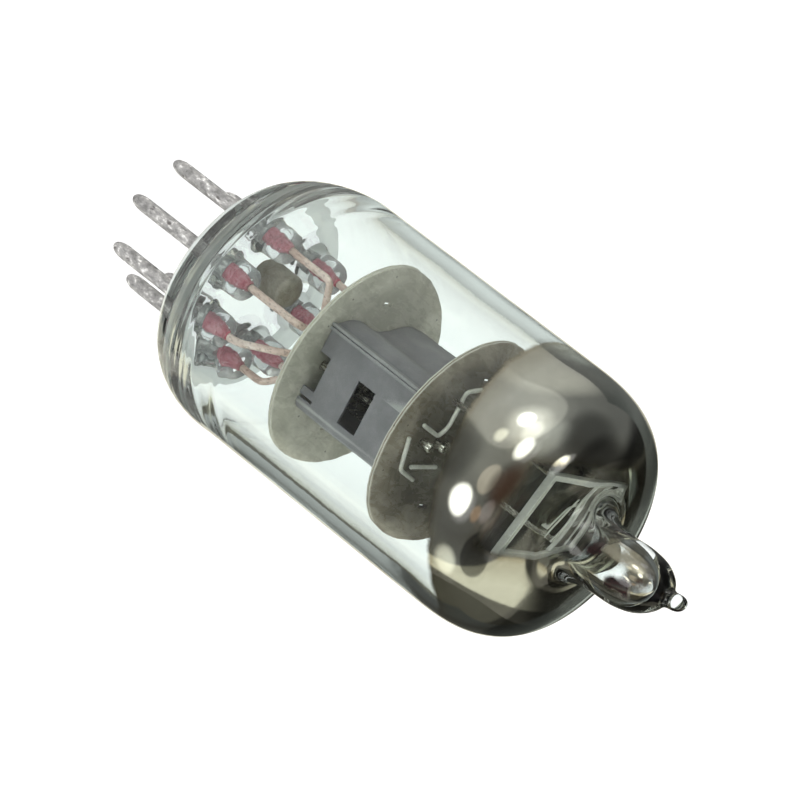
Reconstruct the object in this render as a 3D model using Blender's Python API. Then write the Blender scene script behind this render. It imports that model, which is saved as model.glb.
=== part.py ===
"""Seven-pin miniature vacuum tube: a pentode in a glass bulb.

The tube's axis is +Z and its pins point down. The origin is on the axis, in the plane of
the pin tips. Every design value is in millimetres or degrees, and a mesh is scaled by MM
as it is made, so the scene is in metres.
"""
import math

import bmesh
import bpy
from mathutils import Matrix, Vector

MM = 0.001

# Pins and the glass stem
PIN_COUNT = 7
PIN_PITCH = 45.0
FIRST_PIN_AZIMUTH = 225.0
PIN_CIRCLE_RADIUS = 4.765
PIN_RADIUS = 0.508
PIN_TOP = 9.75
PIN_TIP = [(0.0, 0.0), (0.2, 0.03), (0.38, 0.2), (0.47, 0.5), (PIN_RADIUS, 0.9)]
SEAL_RADIUS = 0.5
SEAL_TOP = 11.95
END_GAP = 0.06
BORE_RADIUS = 0.55
BUTTON_BOTTOM = 7.1
BUTTON_TOP = 9.4
BUTTON_RADIUS = 5.7
BUTTON_EDGE = 0.3
SLEEVE_RADIUS = 0.98
SLEEVE_TOP = 12.0
SLEEVE_EDGE = (0.25, 0.3)
SLEEVE_ROOT = BUTTON_TOP - 0.5
LEAD_RADIUS = 0.28
LEAD_BEND = 0.45
SHIELD_CENTRE = (-1.05, -0.6)
SHIELD_RADIUS = 1.2
SHIELD_WALL = 0.15
SHIELD_TOP = 12.3

# Glass bulb
BULB_RADIUS = 9.4
BULB_WALL = 1.05
SKIRT_HOLE_RADIUS = 5.76
SKIRT_BOTTOM = 7.3
SKIRT_THICKNESS = 1.9
SKIRT_TOP = 13.2
SHOULDER_BOTTOM = 33.4
SHOULDER_TOP = 40.2
CROWN_RADIUS = 3.9
CROWN_INNER_RADIUS = 3.4
TIP_END = 49.1
OUTER_TIP = (
    (CROWN_RADIUS, SHOULDER_TOP), (2.85, 41.1), (2.35, 42.5), (2.25, 44.9), (1.95, 46.4),
    (1.2, 47.5), (0.95, 48.2), (0.65, 48.85), (0.0, TIP_END),
)
INNER_TIP = (
    (CROWN_INNER_RADIUS, SHOULDER_TOP - BULB_WALL), (1.9, 40.2), (1.25, 42.1), (1.15, 44.7),
    (0.7, 46.0), (0.0, 46.4),
)
# How far the tip's end and the base's corner stand off the axis along X, as blown
TIP_LEAN = -0.5
SKIRT_LEAN = 0.5
CORNER_POWER = 0.72
BULB_SEGMENTS = 40

# Electrode cage, turned about the axis as one
CAGE_TURN = 16.0
LOWER_MICA_BOTTOM = 19.15
UPPER_MICA_BOTTOM = 28.65
MICA_THICKNESS = 0.35
MICA_RADIUS = 7.4
MICA_HOLE_GAP = 0.04
# Slits in the micas for the anode's tabs: distance and half-width across, span along
MICA_SLIT = (4.7, 0.13, (-0.9, 0.0))
STRAP_SLIT = (0.2, (-0.5, 0.5))
ANODE_BOTTOM = 19.55
ANODE_TOP = 28.6
ANODE_HALF_DEPTH = 4.8
ANODE_WALL = 0.2
ANODE_BEND = 0.7
SIDE_MEAN = 2.975
SIDE_WAVE = 0.325
SIDE_WAVE_LENGTH = 6.0
SEAM_LIP = 0.38
SEAM_INSET = 0.13
# Windows in an anode's narrow face: span across it, lower and upper edge
ANODE_WINDOWS = (
    ((-1.0, 1.5), ANODE_BOTTOM - 0.3, 20.55),
    ((-1.0, 2.1), 23.25, 24.85),
    ((-1.0, 1.5), 27.3, 28.1),
    ((2.05, 2.28), ANODE_BOTTOM - 0.3, 20.75),
)
ROD_BOTTOM = 18.4
ROD_TOP = 29.9
WINDING_WIRE = 0.05
WINDING_PITCH = 0.85
WINDING_CORNERS = 12
WINDING_MARGIN = 0.6
CATHODE_RADIUS = 0.6
CATHODE_WALL = 0.12
CATHODE_SPAN = (18.7, 29.5)
HEATER_RADIUS = 0.1
HEATER_HALF_GAP = 0.22
HEATER_FOOT = 17.65
HEATER_NECK = 18.3
HEATER_TOP = 28.7
HEATER_LEGS = ((1.0, -0.75), (1.0, 0.8))
STRAP_CENTRE = 3.55
STRAP_BOTTOM = 18.1
STRAP_TOP = 22.4
STRAP_HALF_THICKNESS = 0.08
STRAP_HALF_WIDTH = 0.4
TOP_WIRE_RADIUS = 0.16
TOP_WIRE_BEND = 0.4

# Grids: rod distance from the axis, rod radius and half-width of the winding
GRIDS = {
    "control_grid": (1.4, 0.25, 0.75),
    "screen_grid": (2.45, 0.28, 1.25),
    "suppressor_grid": (3.85, 0.3, 1.9),
}

# Getter
GETTER_Z = 37.6
GETTER_SHIFT = -0.4
GETTER_LENGTH = 7.6
GETTER_WIDTH = 5.6
GETTER_STRIP = 0.3
GETTER_HEIGHT = 0.6
CHANNEL_SPAN = (1.0, 2.4)
CHANNEL_WALL = 0.2
GETTER_POST_RADIUS = 0.22
GETTER_POST_INSET = 0.15
# How far a cutter reaches past what it cuts
CUT_MARGIN = 0.5

COLOURS = {
    "glass": ((0.93, 0.97, 0.95, 1.0), 0.05, 0.0),
    "pin": ((0.42, 0.43, 0.41, 1.0), 0.4, 1.0),
    "dumet": ((0.42, 0.07, 0.12, 1.0), 0.35, 0.6),
    "copper": ((0.55, 0.38, 0.31, 1.0), 0.35, 1.0),
    "mica": ((0.46, 0.44, 0.35, 1.0), 0.3, 0.0),
    "anode": ((0.22, 0.23, 0.24, 1.0), 0.75, 0.3),
    "nickel": ((0.55, 0.54, 0.50, 1.0), 0.3, 1.0),
    "cathode": ((0.80, 0.78, 0.72, 1.0), 0.8, 0.0),
    "shield": ((0.25, 0.22, 0.18, 1.0), 0.55, 0.6),
}


def material(name):
    """The Principled material of one of the colours above."""
    found = bpy.data.materials.get(name)
    if found:
        return found
    colour, roughness, metallic = COLOURS[name]
    made = bpy.data.materials.new(name)
    made.use_nodes = True
    made.diffuse_color = colour
    shader = made.node_tree.nodes["Principled BSDF"]
    shader.inputs["Base Color"].default_value = colour
    shader.inputs["Roughness"].default_value = roughness
    shader.inputs["Metallic"].default_value = metallic
    return made


def add_object(name, bm, finish, smooth_angle=40.0):
    """Turn a bmesh in millimetres into a named object in metres."""
    bmesh.ops.recalc_face_normals(bm, faces=bm.faces)
    bm.transform(Matrix.Scale(MM, 4))
    mesh = bpy.data.meshes.new(name)
    bm.to_mesh(mesh)
    bm.free()
    mesh.shade_smooth()
    mesh.set_sharp_from_angle(angle=math.radians(smooth_angle))
    mesh.materials.append(material(finish))
    made = bpy.data.objects.new(name, mesh)
    bpy.context.scene.collection.objects.link(made)
    return made


def cut(target, cutter, operation="DIFFERENCE"):
    """Give target a Boolean with cutter, which is then only a guide."""
    cutter.hide_render = True
    cutter.display_type = "WIRE"
    boolean = target.modifiers.new(operation.lower(), "BOOLEAN")
    boolean.object = cutter
    boolean.operation = operation
    boolean.solver = "EXACT"


def polar(radius, azimuth, z):
    """A point from its distance to the axis, its azimuth in degrees and its height."""
    angle = math.radians(azimuth)
    return Vector((radius * math.cos(angle), radius * math.sin(angle), z))


def cage(across, along, z):
    """A point from its place in the cage: across the broad sides, along them, and up."""
    return Matrix.Rotation(math.radians(CAGE_TURN), 3, "Z") @ Vector((across, along, z))


def smooth_curve(points, steps):
    """Catmull-Rom points through the given ones, with so many steps between each two."""
    ends = [2 * points[0] - points[1]] + list(points) + [2 * points[-1] - points[-2]]
    made = []
    for i in range(1, len(ends) - 2):
        p0, p1, p2, p3 = ends[i - 1], ends[i], ends[i + 1], ends[i + 2]
        for step in range(steps):
            t = step / steps
            bend = 2 * p0 - 5 * p1 + 4 * p2 - p3
            twist = 3 * p1 - p0 - 3 * p2 + p3
            made.append(0.5 * (2 * p1 + (p2 - p0) * t + bend * t * t + twist * t ** 3))
    made.append(points[-1].copy())
    return made


def turned(bm, profile, segments, centre=(0.0, 0.0)):
    """Turn a closed profile of (radius, z) points about an upright axis.

    A run of the profile may start or end on the axis. Two points on it one after the other
    close a wall's outer run and open its inner one, with no face between them.
    """
    rings = []
    for radius, z in profile:
        if radius < 1e-6:
            rings.append([bm.verts.new((centre[0], centre[1], z))])
            continue
        ring = []
        for i in range(segments):
            point = polar(radius, 360.0 * i / segments, z)
            ring.append(bm.verts.new((point.x + centre[0], point.y + centre[1], z)))
        rings.append(ring)
    for k, low in enumerate(rings):
        high = rings[(k + 1) % len(rings)]
        for i in range(segments):
            j = (i + 1) % segments
            lower = [low[i % len(low)], low[j % len(low)]]
            upper = [high[j % len(high)], high[i % len(high)]]
            corners = list(dict.fromkeys(lower + upper))
            if len(corners) > 2:
                bm.faces.new(corners)


def cylinder(bm, radius, bottom, top, segments, centre=(0.0, 0.0)):
    """A closed upright cylinder."""
    profile = [(0.0, bottom), (radius, bottom), (radius, top), (0.0, top)]
    turned(bm, profile, segments, centre)


def prism(bm, outline, bottom, top):
    """An upright solid on a closed outline of (x, y) points."""
    low = [bm.verts.new((x, y, bottom)) for x, y in outline]
    high = [bm.verts.new((x, y, top)) for x, y in outline]
    bm.faces.new(low[::-1])
    bm.faces.new(high)
    for i in range(len(low)):
        j = (i + 1) % len(low)
        bm.faces.new((low[i], low[j], high[j], high[i]))


def cage_box(bm, across, along, bottom, top):
    """A block in the cage, from its two spans and its two heights."""
    left, right = across
    near, far = along
    corners = [(left, near), (right, near), (right, far), (left, far)]
    prism(bm, [cage(a, d, 0.0).xy for a, d in corners], bottom, top)


def wire(bm, path, radius, sides):
    """A round wire along a path of points, with flat ends."""
    rings = []
    side_way = None
    for i, point in enumerate(path):
        before = path[max(i - 1, 0)]
        after = path[min(i + 1, len(path) - 1)]
        forward = (after - before).normalized()
        if side_way is None:
            side_way = forward.orthogonal().normalized()
        side_way = (side_way - forward * side_way.dot(forward)).normalized()
        up_way = forward.cross(side_way)
        ring = []
        for k in range(sides):
            angle = 2 * math.pi * k / sides
            offset = side_way * math.cos(angle) + up_way * math.sin(angle)
            ring.append(bm.verts.new(point + offset * radius))
        rings.append(ring)
    for low, high in zip(rings, rings[1:]):
        for k in range(sides):
            j = (k + 1) % sides
            bm.faces.new((low[k], low[j], high[j], high[k]))
    bm.faces.new(rings[0][::-1])
    bm.faces.new(rings[-1])


def thickened(path, thickness):
    """The closed outline of a strip that runs along an open path of 2-D points."""
    left = []
    right = []
    for i, point in enumerate(path):
        way_in = (point - path[i - 1]).normalized() if i else (path[1] - point).normalized()
        way_out = (path[i + 1] - point).normalized() if i < len(path) - 1 else way_in
        way = (way_in + way_out).normalized()
        reach = thickness / 2 / way.dot(way_in)
        normal = Vector((-way.y, way.x))
        left.append(point + normal * reach)
        right.append(point - normal * reach)
    return left + right[::-1]


def corner_curve(inner, outer, flat_z, side_z, steps):
    """A rounded corner in (radius, z), from the flat end at inner to the side at outer."""
    made = []
    for step in range(steps + 1):
        angle = math.pi / 2 * step / steps
        reach = math.sin(angle) ** CORNER_POWER
        rise = 1.0 - math.cos(angle) ** CORNER_POWER
        made.append((inner + (outer - inner) * reach, flat_z + (side_z - flat_z) * rise))
    return made


def build_bulb():
    """The envelope: skirt, straight wall, shoulder and the drawn-off exhaust tip."""
    inner_radius = BULB_RADIUS - BULB_WALL
    inner_bottom = SKIRT_BOTTOM + SKIRT_THICKNESS
    inner_top = SHOULDER_TOP - BULB_WALL
    skirt = corner_curve(SKIRT_HOLE_RADIUS, BULB_RADIUS, SKIRT_BOTTOM, SKIRT_TOP, 8)
    shoulder = corner_curve(CROWN_RADIUS, BULB_RADIUS, SHOULDER_TOP, SHOULDER_BOTTOM, 8)
    outer = skirt + shoulder[:0:-1]
    outer += smooth_curve([Vector(point) for point in OUTER_TIP], 2)
    skirt = corner_curve(SKIRT_HOLE_RADIUS, inner_radius, inner_bottom, SKIRT_TOP, 5)
    shoulder = corner_curve(CROWN_INNER_RADIUS, inner_radius, inner_top, SHOULDER_BOTTOM, 7)
    inner = skirt + shoulder[:0:-1]
    inner += smooth_curve([Vector(point) for point in INNER_TIP], 2)
    bm = bmesh.new()
    turned(bm, outer + inner[::-1], BULB_SEGMENTS)
    for vert in bm.verts:
        rise = (vert.co.z - SHOULDER_TOP) / (TIP_END - SHOULDER_TOP)
        drop = (SKIRT_TOP - vert.co.z) / (SKIRT_TOP - SKIRT_BOTTOM)
        spread = (vert.co.xy.length - SKIRT_HOLE_RADIUS) / (BULB_RADIUS - SKIRT_HOLE_RADIUS)
        vert.co.x += TIP_LEAN * max(rise, 0.0) ** 2 + SKIRT_LEAN * max(drop, 0.0) * spread
    add_object("glass_bulb", bm, "glass")


def pin_azimuths():
    """The azimuth of each pin, in the order of their numbers."""
    return [FIRST_PIN_AZIMUTH + PIN_PITCH * i for i in range(PIN_COUNT)]


def build_stem():
    """The pressed base with its seven sleeves, bored for the pins and seal wires."""
    low = BUTTON_BOTTOM
    high = BUTTON_TOP
    inset = BUTTON_RADIUS - BUTTON_EDGE
    bm = bmesh.new()
    turned(bm, [
        (0.0, low), (inset, low), (BUTTON_RADIUS, low + BUTTON_EDGE),
        (BUTTON_RADIUS, high - BUTTON_EDGE), (inset, high), (0.0, high),
    ], BULB_SEGMENTS)
    stem = add_object("stem_button", bm, "glass")
    narrowing, fall = SLEEVE_EDGE
    sleeve_profile = [
        (0.0, SLEEVE_ROOT), (SLEEVE_RADIUS, SLEEVE_ROOT), (SLEEVE_RADIUS, SLEEVE_TOP - fall),
        (SLEEVE_RADIUS - narrowing, SLEEVE_TOP), (0.0, SLEEVE_TOP),
    ]
    sleeves = bmesh.new()
    bores = bmesh.new()
    for azimuth in pin_azimuths():
        centre = polar(PIN_CIRCLE_RADIUS, azimuth, 0.0).xy
        turned(sleeves, sleeve_profile, 14, centre)
        cylinder(bores, BORE_RADIUS, low - CUT_MARGIN, SLEEVE_TOP + CUT_MARGIN, 12, centre)
    cut(stem, add_object("sleeve_guide", sleeves, "glass"), "UNION")
    cut(stem, add_object("bore_guide", bores, "glass"))


def build_pins():
    """The pins, their seal wires above them, and the leads above those."""
    for number, azimuth in enumerate(pin_azimuths(), start=1):
        centre = polar(PIN_CIRCLE_RADIUS, azimuth, 0.0).xy
        bm = bmesh.new()
        turned(bm, PIN_TIP + [(PIN_RADIUS, PIN_TOP), (0.0, PIN_TOP)], 12, centre)
        add_object(f"base_pin_{number}", bm, "pin")
        bm = bmesh.new()
        cylinder(bm, SEAL_RADIUS, PIN_TOP + END_GAP, SEAL_TOP, 12, centre)
        add_object(f"seal_wire_{number}", bm, "dumet")


def build_leads():
    """Each lead rises straight from its seal wire, then turns in to its electrode."""
    below_rod = ROD_BOTTOM - END_GAP
    reach = {name: size[0] for name, size in GRIDS.items()}
    control = cage(0.0, -reach["control_grid"], 0.0)
    screen = cage(0.0, reach["screen_grid"], 0.0)
    suppressor = cage(0.0, reach["suppressor_grid"], 0.0)
    strap = cage(STRAP_CENTRE, 0.0, 0.0)
    cathode = (-0.3, -0.95)
    heater_low, heater_high = HEATER_LEGS
    # Each lead: the height where it leaves its pin's line, then the points it turns through
    routes = (
        (15.9, (control.x, control.y, 16.6), (control.x, control.y, below_rod)),
        (16.7, (*cathode, 17.6), (*cathode, 18.9)),
        (12.9, (2.1, -3.2, 16.0), (*heater_low, 17.1), (*heater_low, HEATER_FOOT - 0.15)),
        (14.0, (2.4, 0.75, 16.1), (*heater_high, 17.1), (*heater_high, HEATER_FOOT - 0.15)),
        (15.7, (strap.x, strap.y, 17.1), (strap.x, strap.y, STRAP_BOTTOM - END_GAP)),
        (15.1, (screen.x, screen.y, 16.5), (screen.x, screen.y, below_rod)),
        (16.1, (suppressor.x, suppressor.y, 17.2), (suppressor.x, suppressor.y, below_rod)),
    )
    for number, (azimuth, route) in enumerate(zip(pin_azimuths(), routes), start=1):
        path = [polar(PIN_CIRCLE_RADIUS, azimuth, z) for z in (SEAL_TOP + END_GAP, route[0])]
        path += [Vector(stop) for stop in route[1:]]
        bm = bmesh.new()
        wire(bm, rounded(path, LEAD_BEND), LEAD_RADIUS, 8)
        add_object(f"inner_lead_{number}", bm, "copper")


def rounded(path, radius):
    """The path with each corner drawn round by a three-point bend."""
    made = [path[0]]
    for before, corner, after in zip(path, path[1:], path[2:]):
        reach = min(radius, (corner - before).length * 0.4, (after - corner).length * 0.4)
        start = corner + (before - corner).normalized() * reach
        end = corner + (after - corner).normalized() * reach
        made += [start, (start + end + 2 * corner) / 4, end]
    made.append(path[-1])
    return made


def build_shield():
    """The small domed can on the stem, open at the bottom."""
    outer = SHIELD_RADIUS
    inner = SHIELD_RADIUS - SHIELD_WALL
    bottom = BUTTON_TOP + END_GAP
    top = SHIELD_TOP
    bm = bmesh.new()
    turned(bm, [
        (outer, bottom), (outer, top - 0.45), (outer * 0.8, top - 0.12), (0.0, top),
        (0.0, top - SHIELD_WALL), (inner * 0.8, top - 0.12 - SHIELD_WALL),
        (inner, top - 0.5), (inner, bottom),
    ], 16, SHIELD_CENTRE)
    add_object("stem_shield", bm, "shield")


def build_micas():
    """Two mica discs, punched for the rods, the cathode and the tabs."""
    slit_centre, slit_half, slit_span = MICA_SLIT
    strap_half, strap_span = STRAP_SLIT
    for name, bottom in (("lower_mica", LOWER_MICA_BOTTOM), ("upper_mica", UPPER_MICA_BOTTOM)):
        bm = bmesh.new()
        cylinder(bm, MICA_RADIUS, bottom, bottom + MICA_THICKNESS, 48)
        disc = add_object(name, bm, "mica")
        holes = bmesh.new()
        low = bottom - CUT_MARGIN
        high = bottom + MICA_THICKNESS + CUT_MARGIN
        cylinder(holes, CATHODE_RADIUS + MICA_HOLE_GAP, low, high, 16)
        for side in (-1, 1):
            for distance, radius, _ in GRIDS.values():
                centre = cage(0.0, side * distance, 0.0).xy
                cylinder(holes, radius + MICA_HOLE_GAP, low, high, 12, centre)
            across = (side * slit_centre - slit_half, side * slit_centre + slit_half)
            cage_box(holes, across, slit_span, low, high)
        if name == "lower_mica":
            across = (STRAP_CENTRE - strap_half, STRAP_CENTRE + strap_half)
            cage_box(holes, across, strap_span, low, high)
        cut(disc, add_object(name + "_holes", holes, "mica"))


def side_reach(along):
    """How far a broad side of the anode stands out from the cage's middle plane."""
    return SIDE_MEAN - SIDE_WAVE * math.cos(2 * math.pi * along / SIDE_WAVE_LENGTH)


def build_anode():
    """Two pressings, each one narrow face and one wavy broad side, lapped at two seams."""
    deep = ANODE_HALF_DEPTH
    bend = ANODE_BEND
    seam = side_reach(deep) - SEAM_INSET
    bend_steps = 4
    side_steps = 16
    half_path = [Vector((-seam, -deep - SEAM_LIP)), Vector((-seam, -deep))]
    turn = side_reach(deep - bend) - bend
    for step in range(bend_steps + 1):
        angle = math.pi / 2 * step / bend_steps
        across = turn + bend * math.sin(angle)
        half_path.append(Vector((across, -deep + bend - bend * math.cos(angle))))
    for step in range(1, side_steps):
        along = -deep + bend + (2 * deep - bend) * step / side_steps
        half_path.append(Vector((side_reach(along), along)))
    outer_seam = seam + 2 * SEAM_INSET
    half_path += [Vector((outer_seam, deep)), Vector((outer_seam, deep + SEAM_LIP))]
    outline = thickened(half_path, ANODE_WALL)
    for number, flip in ((1, 1.0), (2, -1.0)):
        bm = bmesh.new()
        points = [cage(point.x * flip, point.y * flip, 0.0).xy for point in outline]
        prism(bm, points, ANODE_BOTTOM, ANODE_TOP)
        half = add_object(f"anode_half_{number}", bm, "anode", 30.0)
        windows = bmesh.new()
        face = sorted((flip * (-deep - 0.15), flip * (-deep + 0.15)))
        for span, low, high in ANODE_WINDOWS:
            cage_box(windows, sorted((flip * span[0], flip * span[1])), face, low, high)
        cut(half, add_object(f"anode_windows_{number}", windows, "anode"))


def build_anode_strap():
    """The strip on the anode's side that passes the lower mica to its lead."""
    across = (STRAP_CENTRE - STRAP_HALF_THICKNESS, STRAP_CENTRE + STRAP_HALF_THICKNESS)
    along = (-STRAP_HALF_WIDTH, STRAP_HALF_WIDTH)
    bm = bmesh.new()
    cage_box(bm, across, along, STRAP_BOTTOM, STRAP_TOP)
    add_object("anode_strap", bm, "nickel")


def build_grids():
    """Each grid's two side rods and the wire wound round them."""
    wound_height = ANODE_TOP - ANODE_BOTTOM - 2 * WINDING_MARGIN
    turns = int(wound_height / WINDING_PITCH)
    for name, (distance, radius, half_width) in GRIDS.items():
        for number, side in ((1, -1), (2, 1)):
            bm = bmesh.new()
            cylinder(bm, radius, ROD_BOTTOM, ROD_TOP, 10, cage(0.0, side * distance, 0.0).xy)
            add_object(f"{name}_rod_{number}", bm, "nickel")
        straight = distance + radius + WINDING_WIRE * 2 - half_width
        path = []
        for step in range(turns * WINDING_CORNERS + 1):
            turn = step / WINDING_CORNERS
            angle = 2 * math.pi * turn
            centre = straight if math.sin(angle) > 0 else -straight
            z = ANODE_BOTTOM + WINDING_MARGIN + WINDING_PITCH * turn
            across = half_width * math.cos(angle)
            path.append(cage(across, centre + half_width * math.sin(angle), z))
        bm = bmesh.new()
        wire(bm, path, WINDING_WIRE, 4)
        add_object(f"{name}_winding", bm, "nickel")


def build_cathode():
    """The oxide-coated sleeve and the folded heater inside it."""
    inner = CATHODE_RADIUS - CATHODE_WALL
    low, high = CATHODE_SPAN
    bm = bmesh.new()
    turned(bm, [(CATHODE_RADIUS, low), (CATHODE_RADIUS, high), (inner, high), (inner, low)], 16)
    add_object("cathode_sleeve", bm, "cathode")
    half = HEATER_HALF_GAP
    fold = HEATER_TOP + 0.3
    straight = HEATER_NECK + 0.7
    path = [
        Vector((*HEATER_LEGS[0], HEATER_FOOT)), Vector((0.3, -half, HEATER_NECK)),
        Vector((0.0, -half, straight)), Vector((0.0, -half, HEATER_TOP)),
        Vector((0.0, -half / 2, fold)), Vector((0.0, half / 2, fold)),
        Vector((0.0, half, HEATER_TOP)), Vector((0.0, half, straight)),
        Vector((0.3, half, HEATER_NECK)), Vector((*HEATER_LEGS[1], HEATER_FOOT)),
    ]
    bm = bmesh.new()
    wire(bm, path, HEATER_RADIUS, 6)
    add_object("heater", bm, "cathode")


def build_top_straps():
    """The bent wires that lie over the upper mica."""
    z = UPPER_MICA_BOTTOM + MICA_THICKNESS + TOP_WIRE_RADIUS + 0.1
    raised = z + 0.1
    routes = (
        ((-3.8, -2.5, z + 0.3), (-3.1, -3.45, z), (-0.66, -2.8, raised), (0.2, -3.2, raised),
         (0.05, -5.2, z)),
        ((1.15, -5.7, z), (3.2, -4.3, z), (3.4, -2.3, z)),
        ((2.75, -3.5, z), (1.95, -1.2, raised)),
    )
    for number, stops in enumerate(routes, start=1):
        path = rounded([Vector(stop) for stop in stops], TOP_WIRE_BEND)
        bm = bmesh.new()
        wire(bm, path, TOP_WIRE_RADIUS, 8)
        add_object(f"top_strap_{number}", bm, "nickel")


def getter_block(across, along, bottom, top):
    """A block in the getter, whose middle stands off the cage's by GETTER_SHIFT."""
    left, right = across
    bm = bmesh.new()
    cage_box(bm, (GETTER_SHIFT + left, GETTER_SHIFT + right), along, bottom, top)
    return bm


def build_getter():
    """The getter frame on its posts, its cross channel and the getter metal in it."""
    half_long = GETTER_LENGTH / 2
    half_wide = GETTER_WIDTH / 2
    inner_long = half_long - GETTER_STRIP
    inner_wide = half_wide - GETTER_STRIP
    low = GETTER_Z
    top = GETTER_Z + GETTER_HEIGHT
    above = top + CUT_MARGIN
    bm = getter_block((-half_wide, half_wide), (-half_long, half_long), low, top)
    frame = add_object("getter_frame", bm, "nickel")
    across = (-inner_wide, inner_wide)
    along = (-inner_long, inner_long)
    opening = getter_block(across, along, low - CUT_MARGIN, above)
    cut(frame, add_object("getter_opening", opening, "nickel"))
    reach = inner_wide - END_GAP
    bm = getter_block((-reach, reach), CHANNEL_SPAN, low, top)
    channel = add_object("getter_channel", bm, "nickel")
    near, far = CHANNEL_SPAN
    wall = CHANNEL_WALL
    groove = getter_block((wall - reach, reach - wall), (near + wall, far - wall), low + wall, above)
    cut(channel, add_object("channel_groove", groove, "nickel"))
    wall = CHANNEL_WALL + END_GAP
    across = (wall - reach, reach - wall)
    bm = getter_block(across, (near + wall, far - wall), low + wall, top - END_GAP)
    add_object("getter_pellet", bm, "shield")
    post_bottom = UPPER_MICA_BOTTOM + MICA_THICKNESS + END_GAP
    for number, side in ((1, -1), (2, 1)):
        across = GETTER_SHIFT + side * (half_wide - GETTER_POST_INSET)
        foot = cage(across, side * (half_long - GETTER_POST_INSET), 0.0)
        bm = bmesh.new()
        cylinder(bm, GETTER_POST_RADIUS, post_bottom, low - END_GAP, 10, foot.xy)
        add_object(f"getter_post_{number}", bm, "nickel")


def main():
    for old in list(bpy.data.objects):
        bpy.data.objects.remove(old, do_unlink=True)
    build_bulb()
    build_stem()
    build_pins()
    build_leads()
    build_shield()
    build_micas()
    build_anode()
    build_anode_strap()
    build_grids()
    build_cathode()
    build_top_straps()
    build_getter()


main()
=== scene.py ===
from math import atan2, cos, exp, pi, radians, sin

import bmesh
import bpy
from mathutils import Matrix, Vector, noise


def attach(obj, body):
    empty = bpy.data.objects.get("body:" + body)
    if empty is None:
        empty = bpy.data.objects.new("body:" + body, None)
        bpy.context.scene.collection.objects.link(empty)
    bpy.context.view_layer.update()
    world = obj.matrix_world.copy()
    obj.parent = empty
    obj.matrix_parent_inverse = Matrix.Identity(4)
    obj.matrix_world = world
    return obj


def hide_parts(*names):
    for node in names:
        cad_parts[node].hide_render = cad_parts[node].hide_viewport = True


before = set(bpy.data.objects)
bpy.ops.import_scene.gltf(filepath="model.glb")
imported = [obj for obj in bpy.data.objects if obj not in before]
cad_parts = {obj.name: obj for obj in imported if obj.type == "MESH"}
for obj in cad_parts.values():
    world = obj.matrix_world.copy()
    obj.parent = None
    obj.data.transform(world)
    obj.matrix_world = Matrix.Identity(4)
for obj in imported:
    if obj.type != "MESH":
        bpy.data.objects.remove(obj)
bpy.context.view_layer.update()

MM = 0.001
ON_AXIS = 1e-6

# Pins, seals and leads
PIN_COUNT = 7
PIN_PITCH = 45.0
FIRST_PIN_AZIMUTH = 225.0
PIN_CIRCLE_RADIUS = 4.765
PIN_RADIUS = 0.508
PIN_TAPER_END = 1.15
PIN_TOP = 9.75
SEAL_RADIUS = 0.36
SEAL_TOP = 11.95
LEAD_RADIUS = 0.25
LEAD_BEND = 0.45
ROD_BOTTOM = 18.4
ROD_TOP = 29.9
STRAP_BOTTOM = 18.1
STRAP_TOP = 22.4
STRAP_CENTRE = 3.55
HEATER_FOOT = 17.65
HEATER_LEGS = ((1.0, -0.75), (1.0, 0.8))

# Glass
BULB_RADIUS = 9.4
BULB_WALL = 1.05
BASE_BOTTOM = 7.1
STEM_TOP = 9.4
SKIRT_HOLE_RADIUS = 5.76
SKIRT_BOTTOM = 7.3
SKIRT_THICKNESS = 1.9
SKIRT_TOP = 13.2
SHOULDER_BOTTOM = 33.4
SHOULDER_TOP = 40.2
CROWN_RADIUS = 3.9
CROWN_INNER_RADIUS = 3.4
TIP_END = 49.1
TIP_LEAN = -0.75
SKIRT_LEAN = 0.5
SKIRT_POWER = 0.97
SHOULDER_POWER = 0.72
SLEEVE_BOTTOM = 9.0
SLEEVE_FOOT = 9.8
SLEEVE_TOP = 12.05
SLEEVE_REACH = 1.7
BASE_GLASS_TOP = 8.7
BASE_GLASS_RADIUS = 6.2
UNDERSIDE_TOP = 7.4
UNDERSIDE_RADIUS = 6.5
COLLAR_DROP = 0.28
COLLAR_RADIUS = 0.85
GLASS_SEGMENTS = 192

# Electrode cage
CAGE_TURN = 16.0
LOWER_MICA_BOTTOM = 19.15
UPPER_MICA_BOTTOM = 28.65
MICA_THICKNESS = 0.35
MICA_RADIUS = 7.4
MICA_CHIPPED_FROM = 6.5
MICA_HOLE_GAP = 0.04
MICA_TAB = 4.7
ANODE_BOTTOM = 19.55
ANODE_TOP = 28.6
ANODE_HALF_DEPTH = 4.8
ANODE_WALL = 0.2
SIDE_MEAN = 2.975
SIDE_WAVE = 0.325
SIDE_WAVE_LENGTH = 6.0
SEAM_LIP = 0.38
SEAM_INSET = 0.13
ANODE_WINDOWS = (
    ((-1.0, 1.5), ANODE_BOTTOM - 0.3, 20.55),
    ((-1.0, 2.1), 23.25, 24.85),
    ((-1.0, 1.5), 27.3, 28.1),
    ((2.05, 2.28), ANODE_BOTTOM - 0.3, 20.75),
)
GRIDS = {"control_grid": (1.4, 0.25), "screen_grid": (2.45, 0.28), "suppressor_grid": (3.85, 0.3)}
CATHODE_RADIUS = 0.6

# Getter
GETTER_Z = 37.6
GETTER_SHIFT = -0.45
GETTER_LENGTH = 8.0
GETTER_WIDTH = 5.9
GETTER_STRIP = 0.38
GETTER_SKEW = -0.3
GETTER_HEIGHT = 0.42
CHANNEL_SPAN = (1.0, 2.4)
TROUGH_WALL = 0.13

# The studio's own directions: away from its table, across it, and along the tube
STUDIO_UP = Vector((-0.6105, -0.7921, 0.0))
STUDIO_ACROSS = Vector((-0.7921, 0.6105, 0.0))
STUDIO_ALONG = Vector((0.0, 0.0, 1.0))


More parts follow.
